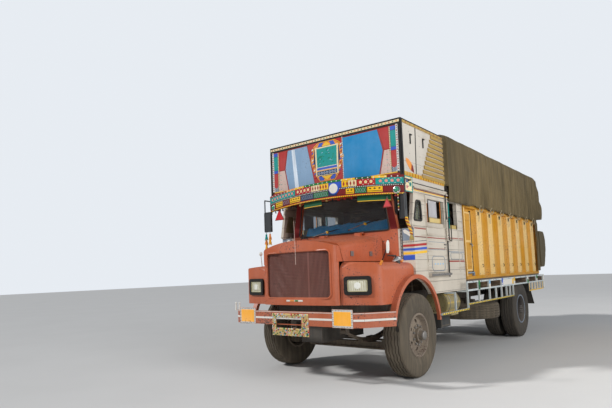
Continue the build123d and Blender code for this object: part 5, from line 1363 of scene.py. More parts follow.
    def side_painting(self, side, word):
        """Post, hooks, thin strip, painted leaf, tassels and slats on the side of the crown."""
        trim = Piece("crown_side_" + word)
        face = facing_side(side, CAB_HALF)
        trim.bar((-0.240, -0.200), (2.500, 3.240), face, 0.008, "black")
        trim.bar((-0.240, 1.030), (3.226, 3.240), face, 0.007, "black")
        trim.bar((-0.200, 1.030), (3.190, 3.224), face, 0.007, "batten")
        trim.dots((-0.19, 3.206), (1.02, 3.206), 0.060, 0.010, face, 0.009, ("straw", "brick"), 8)
        trim.plate(((0.134, 2.562), (0.148, 2.562), (0.181, 3.188), (0.167, 3.188)), face, 0.006, "black")
        for y, foot, head in ((0.000, 2.942, 3.076), (0.375, 2.952, 3.084)):
            trim.bar((y, y + 0.014), (foot, head), face, 0.014, "black")
            trim.bar((y, y + 0.056), (head - 0.013, head), face, 0.014, "black")
        tail = [(0.054, 2.657), (0.075, 2.600), (0.075, 2.572)]
        leaf = [(-0.133, 2.740), (-0.068, 2.737), (0.003, 2.700), *tail, (-0.011, 2.595), (-0.083, 2.645)]
        trim.plate([*leaf, (-0.130, 2.696)], face, 0.003, "orange")
        trim.plate([(0.022, 2.682), *tail, (-0.004, 2.594), (0.012, 2.645)], face, 0.0045, "maroon")
        for step in range(62):
            y = -0.198 + step * 0.0198
            tassel = ((y, 2.562), (y + 0.017, 2.562), (y + 0.013, 2.508), (y + 0.004, 2.508))
            trim.plate(tassel, face, 0.008, ("yellow", "straw", "yellow", "brick")[step % 4])
        trim.bar((-0.190, 1.640), (2.436, 2.446), face, 0.004, "black")
        for row in range(10):
            low = 2.539 + row * 0.066
            start = 0.309 + row * 0.037
            slat = ((start, low), (1.031, low), (1.031, low + 0.046), (start, low + 0.046))
            trim.plate(slat, face, 0.0145, "batten", sunk=0.001)
        for y in (-0.02, 0.28):
            trim.dots((y, 2.60), (y, 3.17), 0.15, 0.005, face, 0.003, ("steel",), 8)
        trim.set_on()


# Bands of the visor, from the top: foot, head, then finish and limits of each field
VISOR_BANDS = (
    (2.477, 2.503, (
        ("brick", -1.12, -0.72), ("orange", -0.72, -0.52), ("yellow", -0.52, -0.33),
        ("green", -0.33, 0.30), ("yellow", 0.30, 0.50), ("dark_green", 0.50, 0.72),
        ("yellow", 0.72, 0.92), ("maroon", 0.92, 1.12),
    )),
    (2.395, 2.474, (
        ("teal", -1.12, -0.51), ("red", -0.51, -0.20), ("cream", -0.20, -0.05),
        ("yellow", -0.05, 0.10), ("blue", 0.10, 0.30), ("yellow", 0.30, 0.40),
        ("cream", 0.40, 0.52), ("red", 0.52, 0.77), ("teal", 0.77, 1.12),
    )),
    (2.299, 2.369, (
        ("maroon", -1.12, -0.97), ("yellow", -0.97, -0.80), ("maroon", -0.80, -0.63),
        ("yellow", -0.63, -0.41), ("navy", -0.40, -0.16), ("green", -0.16, 0.09),
        ("navy", 0.09, 0.23), ("maroon", 0.23, 0.36), ("yellow", 0.36, 0.48),
        ("green", 0.49, 0.65), ("yellow", 0.66, 0.86), ("maroon", 0.87, 1.12),
    )),
)
# Thin lines along the visor: foot, head, finish
VISOR_LINES = (
    (2.372, 2.392, "black"),
    (2.291, 2.297, "black"),
    (2.281, 2.290, "red"),
    (2.2665, 2.280, "yellow"),
)
# How far patterns painted on the visor's bands stand out
PATTERN_LIFT = 0.0045


def spread(start, end, pitch):
    """Middles of equal steps of about this pitch between two places."""
    count = round((end - start) / pitch)
    return [start + (end - start) * (step + 0.5) / count for step in range(count)]


class TRUCK_OT_paint_visor(bpy.types.Operator):
    """Coloured bands, flowers, lattice, end lamps, sunshades and reflectors of the bowed visor"""

    bl_idname = "truck.paint_visor"
    bl_label = "Paint visor"

    def execute(self, context):
        band = Piece("visor_painting")
        for low, high, fields in VISOR_BANDS:
            for finish, start, end in fields:
                columns = max(2, round((end - start) / 0.06))
                band.bar(
                    (start + 0.003, end - 0.003), (low, high), facing_visor, 0.003, finish,
                    columns=columns,
                )
        for low, high, finish in VISOR_LINES:
            band.bar((-1.12, 1.12), (low, high), facing_visor, 0.002, finish, columns=40)
        band.dots((-1.115, 2.382), (1.115, 2.382), 0.026, 0.0070, facing_visor, 0.0035, ("white",))
        self.patterns(band)
        band.disc((0.185, 2.392), 0.080, facing_visor, 0.008, "blue", 28)
        band.disc((0.178, 2.392), 0.066, facing_visor, 0.011, "white", 28, 0.004)
        band.set_on()
        for side, word in HANDS:
            self.end(side, word)
        self.shades()
        return {"FINISHED"}

    def patterns(self, band):
        """Flowers on the teal and red fields, diamonds on the cream ones, eyes and lattice below."""
        lift = PATTERN_LIFT
        for start, end, petals in (
            (-1.09, -0.54, "pink"), (0.80, 1.09, "pink"), (-0.49, -0.22, "cream"), (0.54, 0.75, "cream")
        ):
            for u in spread(start, end, 0.072):
                flower(band, (u, 2.436), 0.020, facing_visor, lift, petals, "yellow")
                for z in (2.464, 2.407):
                    band.disc((u + 0.034, z), 0.006, facing_visor, lift, "white", 6)
        for start, end in ((-0.19, 0.08), (0.31, 0.51)):
            for u in spread(start, end, 0.045):
                diamond = ((u, 2.401), (u + 0.014, 2.435), (u, 2.469), (u - 0.014, 2.435))
                band.plate(diamond, facing_visor, lift, "brick")
        for start, end in ((-0.96, -0.81), (-0.62, -0.42), (0.37, 0.47), (0.67, 0.85)):
            for u in spread(start, end, 0.055):
                eye = ((u - 0.018, 2.346), (u, 2.336), (u + 0.018, 2.346), (u, 2.357))
                band.plate(eye, facing_visor, lift, "black")
            band.bar((start, end), (2.312, 2.318), facing_visor, lift, "black", 3)
        for start, end in ((-0.39, -0.17), (-0.15, 0.08), (0.50, 0.64), (-0.79, -0.64)):
            for u in spread(start, end, 0.040):
                for lean in (-0.018, 0.018):
                    foot, head = u - lean, u + lean
                    lath = (
                        (foot - 0.003, 2.303),
                        (foot + 0.003, 2.303),
                        (head + 0.003, 2.365),
                        (head - 0.003, 2.365),
                    )
                    band.plate(lath, facing_visor, lift, "slate")
        for step in range(76):
            u = -1.11 + step * 0.0296
            tooth = ((u - 0.007, 2.268), (u + 0.007, 2.268), (u, 2.279))
            band.plate(tooth, facing_visor, 0.0035, ("red", "dark_green")[step % 2])
        for step in range(-14, 15):
            band.disc((step * 0.075, 2.490), 0.008, facing_visor, lift, "white", 8)

    def end(self, side, word):
        """Green lamp, painted end box and hanging reflector at one end of the visor."""
        trim = Piece("visor_end_" + word)
        u = side * 1.030
        rim = [(-0.01, 0.046), (0.012, 0.046), (0.016, 0.036)]
        trim.lathe(facing_visor(u, 2.316, 0.0), (side * 0.30, -1, 0), rim, "bright", 24)
        trim.ball(facing_visor(u, 2.316, 0.012), 0.034, "green_lamp", (1, 0.6, 1), 9)
        face = facing_side(side, VISOR_HALF)
        trim.bar((-0.250, -0.042), (2.298, 2.498), face, 0.002, "cream")
        trim.border((-0.250, -0.042), (2.298, 2.498), 0.012, face, 0.005, "teal")
        for spot, size, petals, heart in (
            ((-0.19, 2.44), 0.026, "blue", "white"),
            ((-0.10, 2.40), 0.030, "teal", "navy"),
            ((-0.19, 2.36), 0.024, "pink", "brick"),
            ((-0.09, 2.465), 0.018, "straw", "red"),
        ):
            flower(trim, spot, size, face, 0.004, petals, heart)
        for spot in ((-0.145, 2.42), (-0.145, 2.37), (-0.06, 2.34), (-0.225, 2.40)):
            trim.disc(spot, 0.008, face, 0.004, "navy", 6)
        x = side * 0.90
        plane = facing_front(visor_bow(x) + 0.012)
        foot, half, rise = (2.125, 0.050, 0.090) if side > 0 else (2.130, 0.075, 0.135)
        for grow, lift, finish in ((0.014, 0.004, "brick"), (0.0, 0.007, "red_lens")):
            low = foot - grow * 0.6
            corners = ((x - half - grow, low), (x + half + grow, low), (x, foot + rise + grow * 1.4))
            trim.plate(corners, plane, lift, finish, sunk=0.004)
        trim.tube([plane(x, foot + rise - 0.005, 0.002), plane(x, 2.285, -0.010)], 0.003, "steel", 6)
        trim.set_on()

    def shades(self):
        """Green sunshade strips that hang behind the visor."""
        shade = Piece("sunshades")

        def behind(u, v, out):
            return facing_visor(u, v, out - 0.034)

        for start, end in ((-0.37, -0.05), (0.50, 0.94)):
            shade.bar((start, end), (2.190, 2.290), behind, 0.002, "dark_green", columns=8)
            shade.bar((start, end), (2.190, 2.198), behind, 0.004, "yellow", columns=8)
        shade.set_on()


class TRUCK_OT_dress_cab(bpy.types.Operator):
    """Stripes, pane rubbers, boards, door lines and gutter on the cab's sides"""

    bl_idname = "truck.dress_cab"
    bl_label = "Dress cab"

    def execute(self, context):
        for side, word in HANDS:
            self.front_return(side, word)
            self.side(side, word)
            self.door(side, word)
        return {"FINISHED"}

    def front_return(self, side, word):
        """Striped panel beside the cowl, carried round the corner on to the side."""
        trim = Piece("cab_stripes_" + word)
        front, flank = facing_front(-0.020), facing_side(side, CAB_HALF)
        outer = side * 1.100
        trim.bar(sorted((side * 0.942, outer)), (1.700, 1.858), front, 0.002, "slate")
        upper = [(0.950, 1.835), (0.985, 1.845), (1.050, 1.800), (1.090, 1.735)]
        lower = [(1.075, 1.725), (1.010, 1.775), (0.965, 1.800)]
        trim.plate([(side * x, z) for x, z in upper + lower], front, 0.0035, "white")
        trim.bar(sorted((side * 0.908, side * 0.938)), (1.452, 1.858), front, 0.002, "black")
        trim.dots((side * 0.923, 1.46), (side * 0.923, 1.855), 0.019, 0.0058, front, 0.0035, ("white",))
        trim.dots((side * 0.945, 1.682), (outer, 1.682), 0.018, 0.0055, front, 0.0035, ("black", "slate"))
        stripes = ((1.636, 0.0145, "red"), (1.586, 0.0145, "blue"), (1.538, 0.0145, "yellow"))
        for z, half, finish in (*stripes, (1.484, 0.030, "blue")):
            trim.bar(sorted((side * 0.942, outer)), (z - half, z + half), front, 0.002, finish)
        for z, half, finish in stripes:
            low, high = z - half, z + half
            rising = ((-0.020, low), (0.340, low + 0.023), (0.340, high + 0.023), (-0.020, high))
            trim.plate(rising, flank, 0.002, finish)
        trim.dots((-0.010, 1.684), (0.340, 1.707), 0.018, 0.0055, flank, 0.0030, ("black", "slate"))
        trim.bar((0.000, 0.340), (1.745, 1.752), flank, 0.002, "maroon")
        trim.bar((0.000, 0.340), (1.850, 1.862), flank, 0.003, "brick")
        trim.set_on()

    def side(self, side, word):
        """Pane, rear window, seams, gutter, stripes and grab rail of the fixed side wall."""
        trim = Piece("cab_trim_" + word)
        face = facing_side(side, CAB_HALF)
        pane = [(0.085, 2.215), (0.200, 2.215), (0.220, 1.962), (0.000, 1.962)]
        trim.tube(
            [face(u, v, 0.002) for u, v in round_corners(pane, 0.030)], 0.015, "rubber", 8, closed=True
        )
        # The pane is an opaque olive plate: painted shade of the cab's inside seen through the glass
        trim.plate(round_corners(pane, 0.030), facing_side(side, 1.060), 0.002, "pane_shade_olive", sunk=0.001)
        trim.bar((-0.015, 0.345), (1.872, 1.884), face, 0.010, "cab_plain")
        trim.border((1.045, 1.435), (1.885, 2.305), 0.015, face, 0.008, "cab_plain")
        trim.bar((1.075, 1.115), (1.900, 2.290), face, -0.006, "cab_plain")
        trim.bar((1.135, 1.165), (1.900, 2.290), face, -0.010, "teal")
        trim.bar((1.060, 1.420), (1.900, 1.960), face, -0.012, "straw")
        for y in (0.345, 1.015, 1.450, 1.640):
            trim.bar((y - 0.010, y + 0.010), (1.272, 2.392), face, 0.004, "cab_plain")
            trim.dots((y, 1.30), (y, 2.38), 0.16, 0.0045, face, 0.006, ("steel",), 8)
        for z, finish in ((2.345, "yellow"), (2.360, "maroon")):
            trim.bar((0.045, 1.655), (z, z + 0.010), face, 0.004, finish)
        gutter = [
            face(y, 2.384 + 0.004 * math.sin(3 * y), 0.010) for y in (0.03, 0.35, 0.7, 1.05, 1.4, 1.655)
        ]
        trim.tube(gutter, 0.011, "cab_plain", 8)
        for low, high, finish in ((1.42, 1.44, "brick"), (1.56, 1.572, "slate"), (1.76, 1.772, "brick")):
            trim.bar((1.030, 1.640), (low, high), face, 0.002, finish)
        left_end = [(1.14, 1.46), (1.12, 1.49), (1.12, 1.53), (1.14, 1.55)]
        right_end = [(1.54, 1.55), (1.56, 1.53), (1.56, 1.49), (1.54, 1.46)]
        trim.tube([face(u, v, 0.001) for u, v in left_end + right_end], 0.004, "slate", 6, closed=True)
        trim.tube([face(1.006, 1.21, 0.018), face(1.008, 2.395, 0.018)], 0.008, "black", 8)
        for z in (1.26, 1.86, 2.36):
            trim.tube([face(1.007, z, 0.0), face(1.007, z, 0.018)], 0.007, "black", 8)
        grab = [(1.035, 1.730), (1.035, 2.060), (1.125, 2.050), (1.125, 1.715)]
        trim.tube(
            [face(u, v, 0.030) for u, v in round_corners(grab, 0.02)], 0.007, "black", 8, closed=True
        )
        for u, v in ((1.035, 1.80), (1.035, 2.00)):
            trim.tube([face(u, v, 0.0), face(u, v, 0.030)], 0.006, "black", 8)
        trim.bar((0.350, 1.010), (1.236, 1.268), facing_side(side, 1.150), 0.003, "steel")
        trim.set_on("truck", bevel=0.0012)

    def door(self, side, word):
        """Lines, lock, boards and painted posts in the window; they turn with the door."""
        trim = Piece("door_trim_" + word)
        face = facing_side(side, CAB_HALF)
        trim.border((0.376, 0.964), (1.886, 2.284), 0.014, face, 0.006, "cab_plain")
        trim.bar((0.392, 0.948), (1.902, 1.955), face, -0.012, "cab_plain")
        posts = (
            (0.392, "teal"), (0.406, "orange"), (0.846, "orange"), (0.862, "teal"), (0.905, "cab_plain")
        )
        for start, finish in posts:
            trim.bar((start, start + 0.014), (1.955, 2.268), face, -0.012, finish)
        trim.bar((0.480, 0.840), (1.955, 2.025), face, -0.016, "ochre")
        trim.bar((0.370, 0.990), (1.775, 1.800), face, 0.010, "cab_plain")
        trim.bar((0.372, 0.988), (1.742, 1.752), face, 0.002, "brick")
        for z, finish in ((1.585, "slate"), (1.600, "brick"), (1.690, "slate")):
            trim.bar((0.400, 0.930), (z, z + 0.006), face, 0.002, finish)
        left_end = [(0.52, 1.30), (0.48, 1.34), (0.48, 1.46), (0.52, 1.50)]
        right_end = [(0.86, 1.50), (0.90, 1.46), (0.90, 1.34), (0.86, 1.30)]
        trim.tube([face(u, v, 0.001) for u, v in left_end + right_end], 0.005, "slate", 6, closed=True)
        for step in range(4):
            u = 0.56 + step * 0.085
            trim.bar((u, u + 0.035), (1.385, 1.405), face, 0.003, "pale_blue")
        trim.bar((0.90, 0.955), (1.655, 1.675), face, 0.016, "steel")
        trim.disc((0.925, 1.620), 0.012, face, 0.008, "steel", 12)
        trim.dots((0.385, 1.31), (0.385, 2.31), 0.16, 0.0045, face, 0.003, ("steel",), 8)
        trim.set_on("cab_door_" + word, bevel=0.0012)


# How far a seat pad may swell
PAD_GROWTH = 0.010
# Seat pads: name, low corner, high corner
PADS = (
    ("cushion_driver", (-0.815, 0.805, 1.392), (-0.325, 1.145, 1.498)),
    ("back_driver", (-0.815, 1.152, 1.505), (-0.325, 1.258, 1.978)),
    ("cushion_bench", (-0.055, 0.805, 1.392), (0.855, 1.145, 1.498)),
    ("back_bench", (-0.055, 1.152, 1.505), (0.855, 1.258, 1.978)),
)


def apply_modifiers(made):
    """Turn an object's modifiers into its mesh."""
    graph = bpy.context.evaluated_depsgraph_get()
    mesh = bpy.data.meshes.new_from_object(made.evaluated_get(graph))
    made.modifiers.clear()
    made.data = mesh


def inflated(name, low, high, simulate):
    """A seat pad: a rounded block blown up as cloth, its growth capped, with a fine surface."""
    inset = PAD_GROWTH
    form = bmesh.new()
    bmesh.ops.create_cube(form, size=1.0)
    size = [b - a - 2 * inset for a, b in zip(low, high)]
    middle = [(a + b) / 2 for a, b in zip(low, high)]
    for vert in form.verts:
        vert.co = Vector([m + c * s for m, c, s in zip(middle, vert.co, size)])
    bmesh.ops.bevel(form, geom=form.edges[:], offset=0.028, segments=3, affect="EDGES", profile=0.6)
    mesh = bpy.data.meshes.new(name)
    form.to_mesh(mesh)
    form.free()
    made = new_object(name, mesh)
    remesh = made.modifiers.new("Remesh", "REMESH")
    remesh.mode = "VOXEL"
    remesh.voxel_size = 0.014
    apply_modifiers(made)
    if simulate:
        start = [v.co.copy() for v in made.data.vertices]
        cloth = made.modifiers.new("Cloth", "CLOTH")
        cloth.settings.use_pressure = True
        cloth.settings.uniform_pressure_force = 4.0
        cloth.settings.tension_stiffness = 12
        cloth.settings.effector_weights.gravity = 0
        for step in range(1, 21):
            bpy.context.scene.frame_set(step)
        apply_modifiers(made)
        bpy.context.scene.frame_set(1)
        for vert, before in zip(made.data.vertices, start):
            move = vert.co - before
            if move.length > inset:
                vert.co = before + move.normalized() * inset
    for vert in made.data.vertices:
        for axis in range(3):
            vert.co[axis] = min(max(vert.co[axis], low[axis]), high[axis])
    fine = made.modifiers.new("Fine", "SUBSURF")
    fine.levels = fine.render_levels = 1
    return made


def cloth_sheet(name, grid, finish, thick=0.0015):
    """A sheet of cloth from rows of points, with its thickness; gives the object and its flat cut."""
    rows, columns = len(grid), len(grid[0])
    mesh = bpy.data.meshes.new(name)
    corners = [r * columns + c for r in range(rows - 1) for c in range(columns - 1)]
    faces = [(a, a + 1, a + columns + 1, a + columns) for a in corners]
    mesh.from_pydata([tuple(p) for row in grid for p in row], [], faces)
    mesh.materials.append(FINISH[finish])
    mesh.polygons.foreach_set("use_smooth", [True] * len(mesh.polygons))
    made = new_object(name, mesh)
    thicken(made, thick)
    across = sum(line_length(row) for row in grid) / rows
    down = sum(line_length([row[c] for row in grid]) for c in range(columns)) / columns
    return made, (across, down)


def line_length(points):
    """Length of a line of points."""
    return sum((Vector(b) - Vector(a)).length for a, b in zip(points, points[1:]))


class TRUCK_OT_furnish_cab(bpy.types.Operator):
    """Blown-up seat pads on steel frames, cloth on the dashboard, and curtains"""

    bl_idname = "truck.furnish_cab"
    bl_label = "Furnish cab"

    def execute(self, context):
        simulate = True
        for name, low, high in PADS:
            place = [(low[0], back(low[1]), low[2]), (high[0], back(high[1]), high[2])]
            pad = inflated(name, *place, simulate)
            pad.data.materials.clear()
            pad.data.materials.append(FINISH["seat"])
            pad.data.polygons.foreach_set("use_smooth", [True] * len(pad.data.polygons))
            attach(pad, "truck")
        frames = Piece("seat_frames")
        for low, high in ((-0.820, -0.320), (-0.060, 0.860)):
            frames.box((low + 0.03, back(0.84), 1.250), (high - 0.03, back(1.26), 1.388), "plastic")
            for x in (low + 0.05, high - 0.05):
                frames.tube([(x, back(1.20), 1.388), (x, back(1.235), 1.96)], 0.012, "steel", 8)
        frames.box((-0.06, back(1.1475), 1.388), (0.86, back(1.1505), 1.50), "steel")
        # A lining board under the roof in the dark floor finish: painted shade that darkens the cab's
        # inside behind the windscreen
        frames.box((-1.05, back(0.045), 2.388), (1.05, back(1.610), 2.397), "floor")
        frames.set_on("truck", bevel=0.006)
        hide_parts("seats")
        self.dash_cloth()
        self.curtains()
        return {"FINISHED"}

    def dash_cloth(self):
        """A bright cloth bunched along the top of the dashboard, behind the windscreen."""
        grid = []
        for j in range(26):
            s = j / 25
            row = []
            for i in range(110):
                x = -0.690 + 1.38 * i / 109
                ruck = 0.5 + 0.5 * noise.noise(Vector((x * 7, s * 1.5, 3.0)))
                fine = noise.noise(Vector((x * 26, s * 5, 9.0)))
                swell = math.sin(math.pi * min(1.0, s * 1.02)) ** 0.8
                z = 1.8475 + swell * (0.145 + 0.045 * ruck + 0.012 * fine)
                y = 0.046 + 0.19 * s + 0.010 * fine * swell
                row.append((x, back(y), z))
            grid.append(row)
        cloth, cut = cloth_sheet("dash_cloth", grid, "blue_cloth")
        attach(cloth, "truck")

    def curtains(self):
        """Gathered curtains in the front half of each door's window, hung on a wire."""
        for side, word in HANDS:
            grid = []
            for j in range(18):
                z = 2.262 - 0.245 * j / 17
                row = []
                for i in range(70):
                    y = 0.500 + 0.250 * i / 69
                    wave = 0.010 * math.sin(i * 0.75 + 0.6 * math.sin(j * 0.2)) * (0.7 + 0.3 * j / 17)
                    hang = 0.003 * math.sin(i * 0.9) * j / 17
                    row.append((side * (1.076 + wave), back(y), z + hang))
                grid.append(row)
            curtain, cut = cloth_sheet("curtain_" + word, grid, "curtain", 0.001)
            rail = Piece("curtain_wire_" + word)
            rail.tube(
                [(side * 1.076, back(0.392), 2.265), (side * 1.076, back(0.948), 2.265)],
                0.004,
                "steel",
                6,
            )
            wire = rail.set_on("cab_door_" + word)
            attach(curtain, "cab_door_" + word)


# Hook low on a rib: height and distance out of each point
HOOK = ((1.375, 0.0), (1.372, 0.022), (1.345, 0.026), (1.330, 0.012))


class TRUCK_OT_dress_body(bpy.types.Operator):
    """Rib faces, hooks, bolts, straps and hinge lines of the load body and its tailboard"""

    bl_idname = "truck.dress_body"
    bl_label = "Dress load body"

    def execute(self, context):
        for side, word in HANDS:
            trim = Piece("body_trim_" + word)
            face = facing_side(side, 1.100)
            for y in RIBS:
                half = RIB_HALF - 0.006
                trim.bar((y - half, y + half), (1.205, 2.262), face, 0.0015, "body_face")
                for z in (1.225, 1.70, 2.245):
                    for step in (-0.085, 0.085):
                        trim.disc((y + step, z), 0.007, face, 0.006, "steel", 8, 0.002)
                self.eye(trim, face, y - 0.03, 2.215)
                hook = [face(y + 0.03, *place) for place in HOOK]
                trim.tube(hook, 0.005, "black", 6)
            for low, high in ((1.156, 1.184), (2.276, 2.324)):
                trim.bar((1.716, 5.994), (low, high), face, 0.002, "body")
            for step in range(24):
                trim.disc((1.80 + step * 0.178, 2.300), 0.008, face, 0.005, "steel", 8, 0.002)
            trim.bar((5.945, 5.995), (1.20, 2.265), face, 0.004, "body_face")
            trim.bar((1.714, 1.748), (1.20, 2.265), face, 0.004, "body_face")
            if side > 0:
                trim.bar((2.052, 2.074), (1.255, 2.235), facing_side(side, 1.058), 0.020, "black")
                trim.bar((1.748, 2.074), (1.240, 1.262), facing_side(side, 1.058), 0.034, "slate")
                trim.bar((2.050, 2.078), (1.200, 1.262), facing_side(side, 1.058), 0.036, "slate")
            trim.set_on()
        self.side_door()
        self.tail()
        return {"FINISHED"}

    def eye(self, trim, face, y, z):
        """A lashing eye: a small ring held by a clip."""
        turns = [2 * math.pi * k / 10 for k in range(10)]
        points = [face(y + 0.020 * math.cos(t), z - 0.014 + 0.020 * math.sin(t), 0.012) for t in turns]
        trim.tube(points, 0.0045, "black", 6, closed=True)
        trim.bar((y - 0.010, y + 0.010), (z, z + 0.018), face, 0.017, "black")

    def side_door(self):
        """Frame strips, hasp and bolts on the small door in the load body's left side."""
        trim = Piece("side_door_trim")
        face = facing_side(1, 1.072)
        trim.border((1.768, 2.042), (1.278, 2.207), 0.026, face, 0.006, "body_face")
        trim.bar((1.794, 2.016), (1.725, 1.760), face, 0.006, "body_face")
        trim.bar((1.985, 2.040), (1.690, 1.712), face, 0.016, "steel")
        trim.tube(
            [face(2.015, 1.701, 0.016), face(2.015, 1.701, 0.030), face(2.015, 1.660, 0.034)],
            0.007,
            "steel",
            8,
        )
        for z in (1.30, 1.50, 1.85, 2.02, 2.18):
            trim.disc((2.029, z), 0.006, face, 0.010, "steel", 8)
        trim.set_on("side_door")

    def tail(self):
        """Stiffeners, reflectors and lamps across the tailboard."""
        trim = Piece("tailboard_trim")

        def face(u, v, out):
            return (u, back(6.050) + out, v)

        trim.border((-1.09, 1.09), (1.165, 2.300), 0.040, face, 0.006, "body_face")
        for x in (-0.95, 0.95):
            trim.bar((x - 0.06, x + 0.06), (1.205, 1.255), face, 0.012, "red_lens")
        trim.bar((-0.28, 0.28), (1.200, 1.255), face, 0.008, "white")
        for step in range(-5, 6):
            trim.disc((step * 0.2, 2.280), 0.008, face, 0.011, "steel", 8)
        trim.set_on("tailboard")


# Outline of the canvas's rear edge from the top down: distance behind the front axle, height
REAR_LINE = (
    (5.930, 3.305), (6.020, 3.268), (6.140, 3.195), (6.200, 3.110), (6.265, 3.000),
    (6.370, 2.810), (6.455, 2.660), (6.474, 2.600), (6.455, 2.480), (6.430, 2.345),
)


def rear_line(z):
    """How far back the canvas reaches at this height."""
    for (y0, z0), (y1, z1) in zip(REAR_LINE, REAR_LINE[1:]):
        if z >= z1:
            return y0 + (y1 - y0) * (z0 - min(z, z0)) / (z0 - z1)
    return REAR_LINE[-1][0]


# Sheet over the hoops: half width, height of its eaves and hem, its front edge, a nominal length
COVER_HALF = 1.146
COVER_EAVE = 3.205
COVER_HEM = 2.292
COVER_START = 1.094
COVER_ROWS = 20
COVER_STATIONS = 236
# Half of the sheet's top seen from the front: place across and height, and the top's flat part
COVER_TOP = ((-1.122, 3.275), (-1.052, 3.302))
COVER_FLAT = (1.0, 3.3035)
# Where the two corner tails hang, and how far down
TAIL_FROM = 5.835
TAIL_TO = 6.015
TAIL_STEPS = 22
TAIL_STEP = 0.049
# Roll on the tailboard: half length, and its outline as distance behind the front axle and height
ROLL_HALF = 1.160
ROLL_COUNT = 70
ROLL_OUTLINE = (
    (6.054, 1.275), (6.054, 2.105), (6.410, 2.105), (6.480, 2.070), (6.520, 2.000),
    (6.553, 1.900), (6.553, 1.700), (6.470, 1.500), (6.380, 1.330), (6.310, 1.275),
)
ROLL_TIES = (-0.88, -0.30, 0.30, 0.88)


def eave_to_hem(z):
    """Share of the way down from the eaves to the hem."""
    return (COVER_EAVE - z) / (COVER_EAVE - COVER_HEM)


def within(value, low, high):
    """A value kept between two others."""
    return min(high, max(low, value))


